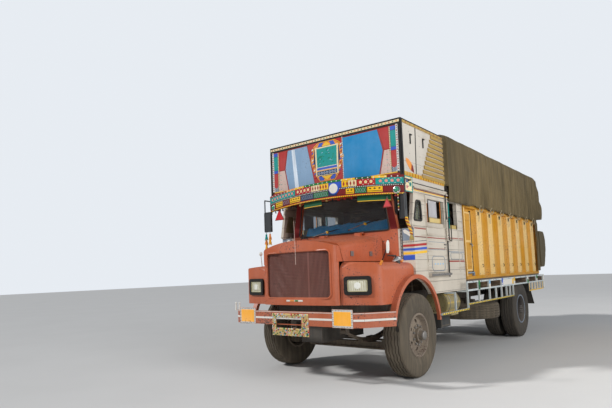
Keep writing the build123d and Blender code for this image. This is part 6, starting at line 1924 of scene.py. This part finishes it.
class TRUCK_OT_drape_canvas(bpy.types.Operator):
    """The tarpaulin as one folded sheet over its hoops, its lashings, and the tied roll at the rear"""

    bl_idname = "truck.drape_canvas"
    bl_label = "Drape canvas"

    def execute(self, context):
        sizes = context.scene.truck_sizes
        roll = self.roll(sizes.seed)
        ties = self.lashings(sizes.seed)
        self.cover(sizes, [ties])
        return {"FINISHED"}

    def fold(self, along, drop, depth, seed):
        """How far a fold stands out at this place along the truck and this far below the eave."""
        wander = noise.noise(Vector((along * 1.3, drop * 0.8, seed))) * 0.35
        phase = (along + wander * 0.25) / 0.172
        pleat = 1 - abs(2 * (phase - math.floor(phase)) - 1)
        pleat = pleat * pleat * (3 - 2 * pleat)
        small = noise.noise(Vector((along * 13, drop * 2.2, seed + 4))) * 0.5
        broad = noise.noise(Vector((along * 1.9, drop * 0.9, seed + 8)))
        grow = 0.22 + 0.78 * min(1.0, drop / 0.75)
        calm = within((along - 1.75) / 0.5, 0.0, 1.0) * 0.85 + 0.15
        return depth * calm * (grow * (pleat - 0.5) * 0.95 + 0.35 * small * grow + 0.35 * broad * grow)

    def section(self):
        """Cross section of the sheet from its left hem over the top, as (across, height, is a side)."""
        up = [COVER_HEM + (COVER_EAVE - COVER_HEM) * r / COVER_ROWS for r in range(COVER_ROWS + 1)]
        half, height = COVER_FLAT
        across = [-half + 2.0 * half * i / 40 for i in range(41)]
        top = [*COVER_TOP, *((x, height) for x in across), *((-x, z) for x, z in COVER_TOP[::-1])]
        line = [(COVER_HALF, z, True) for z in up]
        line += [(-x, z, False) for x, z in top]
        return line + [(-COVER_HALF, z, True) for z in up[::-1]]

    def side_point(self, x, z, share, sizes):
        """Place of a point on a side of the sheet, this share of the way back."""
        skirt = max(z, 2.345) if share > 0.93 else z
        y = COVER_START + share * (rear_line(skirt) - COVER_START)
        drop = COVER_EAVE - z
        out = self.fold(y, drop, sizes.fold, sizes.seed + (0 if x > 0 else 31))
        low = 0.020 * math.sin(math.pi * (y - RIBS[0]) / RIB_PITCH) ** 2 * eave_to_hem(z) ** 3
        lift = 0.053 * within((y - 6.00) / 0.08, 0.0, 1.0) * max(0.0, 1 - (z - COVER_HEM) / 0.06)
        tuck = -0.012 * eave_to_hem(z) ** 6
        reach = abs(x) + max(out + tuck, -0.024)
        return (math.copysign(reach, x), back(y), z + (low if y > 1.9 else 0) + lift)

    def top_point(self, x, z, share, sizes):
        """Place of a point on the top of the sheet, this share of the way back."""
        y = COVER_START + share * (rear_line(z) - COVER_START)
        sag = 0.020 * abs(math.sin(math.pi * (y - 1.200) / 1.17)) * (1 - (x / 1.2) ** 2)
        ripple = 0.006 * noise.noise(Vector((x * 3, y * 4, sizes.seed + 17)))
        out = self.fold(y, 0.0, sizes.fold, sizes.seed + (0 if x > 0 else 31))
        edge = out * max(0.0, abs(x) - 0.9) * 3
        return (x + math.copysign(edge, x) * 0.5, back(y), z - sag + ripple - 0.004)

    def join(self, form, above, below):
        """Faces between two rows of points."""
        for i in range(len(above) - 1):
            form.faces.new((above[i], above[i + 1], below[i + 1], below[i]))

    def close_end(self, form, row, lowest, sizes, rear):
        """Curtain of the sheet across one end, from the top down to this row; the rear one has folds."""
        count = len(row)
        above = [row[i] for i in range(COVER_ROWS + 1, count - COVER_ROWS - 1)]
        for k in range(COVER_ROWS, lowest - 1, -1):
            left, right = row[k], row[count - 1 - k]
            line = [left]
            for i in range(1, len(above) - 1):
                share = i / (len(above) - 1)
                x, y, z = left.co.lerp(right.co, share)
                belly = 0.0
                if rear:
                    drop = max(COVER_EAVE - left.co.z, 0)
                    belly = self.fold(x + 9.0, drop, sizes.fold * 1.1, sizes.seed + 50)
                    belly -= 0.020 * math.sin(math.pi * share)
                line.append(form.verts.new((x, y + belly, z)))
            line.append(right)
            self.join(form, above, line)
            above = line

    def tail(self, form, above, seed):
        """A corner of the sheet that hangs on down the side of the tailboard."""
        for step in range(1, TAIL_STEPS + 1):
            z = COVER_HEM - TAIL_STEP * step
            line = []
            for vert in above:
                y = vert.co.y - FRONT_AXLE
                sway = 0.006 * noise.noise(Vector((y * 9, z * 3, seed))) + 0.004 * math.sin(z * 11)
                line.append(form.verts.new((math.copysign(1.143 + sway, vert.co.x), vert.co.y + sway, z)))
            self.join(form, above, line)
            above = line

    def cover(self, sizes, with_pieces):
        """Sides, top and rear of the sheet share their edges, so it is one continuous cloth."""
        section = self.section()
        form = bmesh.new()
        grid = []
        for s in range(COVER_STATIONS + 1):
            row = []
            for x, z, is_side in section:
                place = self.side_point if is_side else self.top_point
                row.append(form.verts.new(place(x, z, s / COVER_STATIONS, sizes)))
            grid.append(row)
        for ahead, behind in zip(grid, grid[1:]):
            self.join(form, ahead, behind)
        self.close_end(form, grid[-1], 0, sizes, rear=True)
        self.close_end(form, grid[0], 5, sizes, rear=False)
        for first in (0, len(section) - 1):
            hung = [row[first] for row in grid if TAIL_FROM < row[first].co.y - FRONT_AXLE < TAIL_TO]
            self.tail(form, hung, sizes.seed + first)
        bmesh.ops.recalc_face_normals(form, faces=form.faces)
        area = sum(f.calc_area() for f in form.faces)
        # The sheet's front end and its rear end take the darker canvas: painted shade
        for face in form.faces:
            middle = face.calc_center_median()
            edge = 1.93 + 0.03 * noise.noise(Vector((0, 0, middle.z * 3)))
            face.material_index = 1 if middle.y < back(edge) or middle.y > back(6.0) else 0
            face.smooth = True
        mesh = bpy.data.meshes.new("canvas_cover")
        form.to_mesh(mesh)
        form.free()
        mesh.materials.append(FINISH["canvas"])
        mesh.materials.append(FINISH["canvas_shade_ends"])
        cover = new_object("canvas_cover", mesh)
        thicken(cover, 0.003)
        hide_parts("tarpaulin")
        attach(cover, "truck")

    def lashings(self, seed):
        """Ropes from the hem down to the hooks of the load body, with knots, and a hem cord."""
        ties = Piece("canvas_ties")
        dice = random.Random(seed)
        for side in SIDES:
            face = facing_side(side, 1.100)
            for y in RIBS:
                start = y + dice.uniform(-0.02, 0.02)
                rope = [
                    face(start, 2.335, 0.052),
                    face(start - 0.008, 2.285, 0.036),
                    face(y - 0.03, 2.222, 0.020),
                ]
                ties.tube(rope, 0.0055, "rope", 6)
                ties.ball(face(start, 2.330, 0.052), 0.012, "rope", (1, 1.2, 1), 5)
                end = y - 0.012 + dice.uniform(-0.02, 0.02)
                tail = [
                    face(y - 0.03, 2.212, 0.022), face(y - 0.02, 2.150, 0.020), face(end, 2.07, 0.012)
                ]
                ties.tube(tail, [0.005, 0.0045, 0.004], "rope", 5)
                slack = dice.uniform(0.055, 0.095)
                loop = []
                for s in (0, 0.15, 0.3, 0.5, 0.7, 0.85, 1):
                    hang = slack * (1 - (2 * s - 1) ** 2)
                    loop.append(face(y + 0.19 * s - 0.095, 2.305 - hang, 0.054))
                ties.tube(loop, 0.006, "rope", 6)
        return ties.set_on()

    def crease(self, x, y, z, seed):
        """How deep the roll's surface lies below its outline at this place."""
        if y <= 6.06:
            return 0.0
        tied = min(abs(x - tie) for tie in ROLL_TIES)
        depth = -0.030 * math.exp(-((tied / 0.05) ** 2))
        depth += 0.022 * noise.noise(Vector((x * 3.2, z * 7, seed))) - 0.012
        depth += 0.012 * noise.noise(Vector((x * 14, z * 10, seed + 3)))
        depth -= 0.012 * abs(math.sin(z * 24 + noise.noise(Vector((x * 2, z, 5))) * 3))
        return min(depth * (1 if y > 6.30 else 0.4), 0)

    def roll(self, seed):
        """The spare canvas, folded over itself and tied with ropes, hung on the tailboard."""
        fine = []
        for start, end in zip(ROLL_OUTLINE, ROLL_OUTLINE[1:] + ROLL_OUTLINE[:1]):
            steps = max(1, round(math.dist(start, end) / 0.05))
            fine += [between(start, end, s / steps) for s in range(steps)]
        bundle = Piece("canvas_roll")
        points = []
        for s in range(ROLL_COUNT + 1):
            x = -ROLL_HALF + 2 * ROLL_HALF * s / ROLL_COUNT
            squeeze = 1.0 - 0.05 * (abs(x) / ROLL_HALF) ** 6
            for y, z in fine:
                points.append((x, back(y + self.crease(x, y, z, seed)), 1.69 + (z - 1.69) * squeeze))
        rows = len(fine)
        faces = []
        for a in range(0, ROLL_COUNT * rows, rows):
            for r in range(rows):
                after = (r + 1) % rows
                faces.append((a + r, a + after, a + rows + after, a + rows + r))
        faces += [tuple(range(rows)), tuple(ROLL_COUNT * rows + r for r in range(rows))]
        # The roll takes the sheet's canvas at 0.40 of its tone: painted shade at the rear
        bundle.faces(points, faces, "canvas_shade_roll")
        for x in ROLL_TIES:
            loop = []
            for y, z in fine:
                out = 0.004 if z > 2.09 else -0.004 if z < 1.29 else 0
                loop.append((x, back(y - 0.020 if y > 6.06 else y + 0.004), z + out))
            bundle.tube(loop, 0.008, "rope", 6, closed=True)
            bundle.ball((x, back(6.536), 1.80), 0.020, "rope", (1, 0.8, 1), 6)
        return bundle.set_on("tailboard", replaces=("tarp_roll",), smooth=60)


# Posts of the side rails: distance behind the front axle, finishes from the top down
RAIL_POSTS = (
    (1.875, ("green", "dark_green")),
    (2.359, ("pale_blue", "white")),
    (3.008, ("blue", "white")),
    (3.720, ("yellow", "white")),
    (4.617, ("white", "green")),
    (5.312, ("green", "white")),
    (5.865, ("white", "white")),
)


class TRUCK_OT_dress_rails(bpy.types.Operator):
    """Painted posts, guards and lattice of the side rails, and the tank's stripes"""

    bl_idname = "truck.dress_rails"
    bl_label = "Dress side rails"

    def execute(self, context):
        for side, word in HANDS:
            self.rail(side, word)
        self.tank()
        return {"FINISHED"}

    def rail(self, side, word):
        """Posts, dotted guards, panel and lattice along one side."""
        trim = Piece("rail_trim_" + word)
        face = facing_side(side, 1.220)
        for y, (upper, lower) in RAIL_POSTS:
            trim.bar((y - 0.034, y + 0.034), (1.060, 1.129), face, 0.002, upper)
            trim.bar((y - 0.034, y + 0.034), (0.990, 1.060), face, 0.002, lower)
            trim.disc((y, 1.118), 0.006, face, 0.005, "steel", 6)
        for low in (1.020, 1.045):
            trim.bar((2.975, 3.041), (low, low + 0.010), face, 0.004, "blue")
        for start, end, low, high in ((1.390, 3.645, 0.792, 0.810), (0.445, 1.400, 0.724, 0.744)):
            trim.bar((start, end), (low, high), face, 0.002, "yellow")
            for step in range(round((end - start) / 0.060)):
                y = start + 0.015 + step * 0.060
                trim.bar((y, y + 0.024), (low, high), face, 0.003, ("green", "dark_green")[step % 2])
        for y in (1.870, 2.356, 2.674, 2.970, 3.243, 3.446, 3.641):
            trim.bar((y - 0.008, y + 0.008), (0.815, 0.984), face, 0.002, "white")
        panel = facing_side(side, 1.205)
        trim.bar((3.046, 3.610), (1.011, 1.104), panel, 0.006, "white")
        trim.bar((3.610, 3.684), (1.011, 1.104), panel, 0.006, "yellow")
        for step in range(25):
            y = 1.420 + step * 0.178
            trim.bar((y, y + 0.035), (1.108, 1.127), face, 0.0015, ("white", "slate")[step % 2])
        lattice = facing_side(side, 1.211)
        for step in range(12):
            y = 4.720 + step * 1.150 / 11
            finish = ("yellow", "black")[step % 2]
            trim.bar((y + 0.001, y + 0.029), (0.846, 0.984), lattice, 0.002, finish)
        trim.bar((4.722, 5.898), (0.826, 0.844), lattice, 0.002, "yellow")
        trim.bar((5.832, 5.898), (0.846, 0.984), face, 0.002, "white")
        trim.set_on()

    def tank(self):
        """Stripes, straps and ends of the air tank, and the front of the box below the cab."""
        tank = Piece("tank_stripes")
        across, middle, radius, ends = 0.890, 0.835, 0.170, (1.003, 1.477)
        for step in range(5):
            z = middle - 0.125 + step * 0.058
            points = []
            for lift in (0.0015, -0.002):
                for y in ends:
                    for height in (z, z + 0.026):
                        reach = math.sqrt(radius**2 - (height - middle) ** 2)
                        points.append((across + reach + lift, back(y), height))
            faces = [(0, 1, 3, 2), (0, 4, 5, 1), (2, 3, 7, 6), (0, 2, 6, 4), (1, 5, 7, 3)]
            tank.faces(points, faces, ("straw", "tank")[step % 2])
        for y in (1.10, 1.38):
            turns = [2 * math.pi * k / 40 for k in range(40)]
            strap = [(across + 0.173 * math.cos(t), back(y), middle + 0.173 * math.sin(t)) for t in turns]
            tank.tube(strap, 0.006, "steel", 6, closed=True)
        for y, way in ((1.001, -1), (1.479, 1)):
            end = [(0.0, 0.162), (0.006, 0.155), (0.010, 0.05), (0.010, 0.0)]
            tank.lathe((across, back(y), middle), (0, way, 0), end, "tank", 40)
        tank.box((0.929, back(0.689), 0.526), (1.0815, back(1.011), 0.7215), "plastic")
        tank.border((0.705, 0.995), (0.545, 0.705), 0.012, facing_side(1, 1.0815), 0.004, "frame")
        tank.set_on()


class TRUCK_OT_hang_ornaments(bpy.types.Operator):
    """Mirror glass, tassels, bead strings and garlands"""

    bl_idname = "truck.hang_ornaments"
    bl_label = "Hang ornaments"

    def execute(self, context):
        for side, word in HANDS:
            trim = Piece("mirror_trim_" + word)
            turn = Matrix.Rotation(math.radians(-35 if side > 0 else 0), 3, "Z")
            pivot = Vector((side * 1.165, back(-0.330), 0))

            def head(u, v, out, way=1):
                return tuple(pivot + turn @ Vector((u - side * 0.064, way * (0.016 + out), v)))

            def front(u, v, out):
                return head(u, v, out, -1)

            trim.bar((-0.056, 0.056), (1.972, 2.244), head, 0.002, "mirror")
            outer, inner = rounded(0, 2.108, 0.0665, 0.149, 0.020), rounded(0, 2.108, 0.055, 0.137, 0.016)
            ring(trim, outer, inner, front, -0.004, 0.006, "plastic")
            trim.set_on("truck", bevel=0.002)
        self.left_string()
        self.right_tassels()
        self.visor_tassels()
        self.arch_braid()
        return {"FINISHED"}

    def left_string(self):
        """Dark hair tassel, bead string and twisted garland on the truck's left."""
        hair = Piece("hair_tassel_left")
        y = back(-0.262)
        hair.tube([(1.006, y, 2.300), (1.004, y, 2.262)], 0.006, "cord_black", 6)
        hair.ball((1.004, y, 2.256), 0.022, "red", (1, 1, 0.8), 6)
        hair.strands((1.004, y, 2.250), 0.240, 0.024, 95, "hair", flare=1.2, seed=4)
        hair.set_on()
        beads = Piece("bead_string_left")
        spots = [(1.051, back(-0.294), 2.330 - 0.0185 * i) for i in range(15)]
        beads.tube([(1.051, back(-0.286), 2.36), spots[0], spots[-1]], 0.003, "cord_black", 5)
        for i, spot in enumerate(spots):
            beads.ball(spot, 0.0095, ("yellow", "red", "white", "green")[i % 4], (1, 1, 1), 5)
        beads.set_on()
        garland = Piece("garland_left")
        route = (
            (1.165, -0.330, 1.962), (1.168, -0.322, 1.92), (1.180, -0.300, 1.86),
            (1.196, -0.290, 1.79), (1.200, -0.288, 1.755),
        )
        line = [Vector((x, back(y), z)) for x, y, z in route]
        for phase, finish in ((0, "straw"), (2.1, "brick"), (4.2, "yellow")):
            points = []
            for i in range(41):
                share = i / 40 * (len(line) - 1)
                k = min(int(share), len(line) - 2)
                here = line[k].lerp(line[k + 1], share - k)
                turn = i * 0.75 + phase
                points.append(here + Vector((0.011 * math.cos(turn), 0.011 * math.sin(turn), 0)))
            garland.tube(points, 0.0095, finish, 6)
        garland.strands(tuple(line[-1]), 0.085, 0.018, 40, "straw", flare=1.8, seed=6)
        garland.set_on()

    def right_tassels(self):
        """Teal, orange and yellow tassels by the mirror on the truck's right."""
        trim = Piece("tassels_right")
        y = back(-0.330)
        for x, top, finishes in (
            (-1.150, 1.955, ("teal", "orange", "yellow")), (-1.075, 1.955, ("orange", "yellow"))
        ):
            z = top
            trim.tube([(x, y, z + 0.010), (x, y, z - 0.03)], 0.004, "cord_black", 5)
            for i, finish in enumerate(finishes):
                trim.ball((x, y, z - 0.035), 0.016, finish, (1, 1, 0.8), 6)
                trim.strands((x, y, z - 0.040), 0.085, 0.018, 34, finish, flare=1.5, seed=8 + i)
                z -= 0.072
        trim.set_on()

    def visor_tassels(self):
        """Short tassels along the visor's lower edge, apart from where the sunshades hang."""
        fringe = Piece("visor_tassels")
        dice = random.Random(3)
        for step in range(24):
            u = -1.10 + step * 0.0955
            if -0.42 < u < 0.0 or 0.45 < u < 0.9:
                continue
            spot = facing_visor(u, 2.266, -0.016)
            length = 0.040 + dice.uniform(0, 0.012)
            finish = dice.choice(("red", "straw", "dark_green", "black"))
            fringe.strands(spot, length, 0.010, 9, finish, flare=1.4, seed=step, thick=0.0028)
        fringe.set_on()

    def arch_braid(self):
        """Black braid hanging in the front of the left wheel arch."""
        braid = Piece("arch_braid_left")
        foot = Vector((1.100, back(-0.575), 0.905))
        for phase in (0, 2.1, 4.2):
            points = []
            for i in range(25):
                turn = i * 0.9 + phase
                swell = 0.010 * (1 - 0.35 * i / 24)
                points.append(
                    foot + Vector((swell * math.cos(turn), swell * math.sin(turn), -0.0088 * i))
                )
            braid.tube(points, 0.0085, "cord_black", 6)
        braid.strands(tuple(foot + Vector((0, 0, -0.205))), 0.085, 0.012, 40, "hair", flare=1.8, seed=9)
        braid.set_on()


# Camera: place, then yaw, pitch and roll in degrees, then lens in millimetres and shift
CAMERA_PLACE = (3.879, -8.406, 1.335)
CAMERA_TURN = (38.443, 5.17, -1.993)
CAMERA_LENS = 28.863
CAMERA_SHIFT = 0.04
# Lamps: name, kind, place, target, power, size or angle
LAMPS = (
    ("key_sun", "SUN", (-7.0, -7.5, 9.0), (0.0, 0.0, 1.0), 2.3, 0.09),
    ("fill_side", "AREA", (11.0, -5.0, 5.5), (0.0, 0.5, 1.6), 900.0, 6.0),
    ("fill_rear", "AREA", (9.0, 10.0, 7.0), (0.0, 1.0, 1.5), 160.0, 7.0),
)


class TRUCK_OT_set_stage(bpy.types.Operator):
    """Pale floor, soft lights, pale backdrop colour and the camera"""

    bl_idname = "truck.set_stage"
    bl_label = "Set stage"

    def execute(self, context):
        scene = context.scene
        form = bmesh.new()
        bmesh.ops.create_grid(form, x_segments=8, y_segments=8, size=60)
        mesh = bpy.data.meshes.new("floor_sheet")
        form.to_mesh(mesh)
        form.free()
        mesh.materials.append(self.floor_finish())
        new_object("floor_sheet", mesh)
        self.world(scene)
        for name, kind, place, target, power, size in LAMPS:
            light = bpy.data.lights.new(name, kind)
            light.energy = power
            if kind == "AREA":
                light.size = size
            else:
                light.angle = size
            lamp = new_object(name, light)
            lamp.location = place
            lamp.rotation_euler = (Vector(target) - Vector(place)).to_track_quat("-Z", "Y").to_euler()
        self.camera(scene)
        scene.view_settings.view_transform = "Standard"
        return {"FINISHED"}

    def floor_finish(self):
        """Pale floor with a faint uneven tone."""
        material = bpy.data.materials.new("floor_pale")
        material.use_nodes = True
        tree = material.node_tree
        where = node(tree, "TexCoord").outputs["Object"]
        tone = blended(tree, cloud(tree, where, 0.6, 3.0), (0.60, 0.59, 0.57, 1), (0.66, 0.65, 0.63, 1))
        shader = tree.nodes["Principled BSDF"]
        tree.links.new(tone, shader.inputs["Base Color"])
        shader.inputs["Roughness"].default_value = 0.85
        return material

    def world(self, scene):
        """A pale backdrop for the eye and a softer sky for the light."""
        world = bpy.data.worlds.new("pale_surround")
        world.use_nodes = True
        scene.world = world
        tree = world.node_tree
        tree.nodes.clear()
        seen = node(tree, "Background", Color=(0.80, 0.84, 0.89, 1), Strength=1.0)
        glow = node(tree, "Background", Color=(0.80, 0.88, 1.0, 1), Strength=0.30)
        eye = tree.nodes.new("ShaderNodeLightPath").outputs["Is Camera Ray"]
        mix = tree.nodes.new("ShaderNodeMixShader")
        tree.links.new(eye, mix.inputs[0])
        tree.links.new(glow.outputs[0], mix.inputs[1])
        tree.links.new(seen.outputs[0], mix.inputs[2])
        tree.links.new(mix.outputs[0], tree.nodes.new("ShaderNodeOutputWorld").inputs["Surface"])

    def camera(self, scene):
        """The camera stands low at the truck's left front corner."""
        yaw, pitch, roll = (math.radians(a) for a in CAMERA_TURN)
        ahead = Vector(
            (-math.sin(yaw) * math.cos(pitch), math.cos(yaw) * math.cos(pitch), math.sin(pitch))
        )
        right = Vector((math.cos(yaw), math.sin(yaw), 0))
        above = right.cross(ahead)
        rolled = right * math.cos(roll) + above * math.sin(roll)
        upward = above * math.cos(roll) - right * math.sin(roll)
        data = bpy.data.cameras.new("main_camera")
        data.sensor_width = 36
        data.lens = CAMERA_LENS
        data.shift_y = CAMERA_SHIFT
        camera = new_object("main_camera", data)
        turn = Matrix((rolled, upward, -ahead)).transposed().to_4x4()
        camera.matrix_world = Matrix.Translation(CAMERA_PLACE) @ turn
        scene.camera = camera


STEPS = (
    TRUCK_OT_set_stage,
    TRUCK_OT_mix_finishes,
    TRUCK_OT_fit_wheels,
    TRUCK_OT_dress_front,
    TRUCK_OT_paint_crown,
    TRUCK_OT_paint_visor,
    TRUCK_OT_dress_cab,
    TRUCK_OT_furnish_cab,
    TRUCK_OT_dress_body,
    TRUCK_OT_drape_canvas,
    TRUCK_OT_dress_rails,
    TRUCK_OT_hang_ornaments,
)


class TRUCK_PT_panel(bpy.types.Panel):
    """Settings and steps of the truck in the 3D view's sidebar"""

    bl_idname = "TRUCK_PT_panel"
    bl_label = "Decorated Goods Truck"
    bl_space_type = "VIEW_3D"
    bl_region_type = "UI"
    bl_category = "Truck"

    def draw(self, context):
        for settings in (context.scene.truck_colours, context.scene.truck_sizes):
            box = self.layout.box()
            for name in settings.__annotations__:
                box.prop(settings, name)
        for step in STEPS:
            self.layout.operator(step.bl_idname)


CLASSES = (TruckColours, TruckSizes, *STEPS, TRUCK_PT_panel)


def register():
    """Add the operators, the panel and the settings to Blender."""
    for item in CLASSES:
        bpy.utils.register_class(item)
    bpy.types.Scene.truck_colours = PointerProperty(type=TruckColours)
    bpy.types.Scene.truck_sizes = PointerProperty(type=TruckSizes)


def unregister():
    """Take them out again."""
    del bpy.types.Scene.truck_colours
    del bpy.types.Scene.truck_sizes
    for item in reversed(CLASSES):
        bpy.utils.unregister_class(item)


def main():
    """Dress the truck step by step."""
    register()
    for step in STEPS:
        family, name = step.bl_idname.split(".")
        getattr(getattr(bpy.ops, family), name)()


if __name__ == "__main__":
    main()
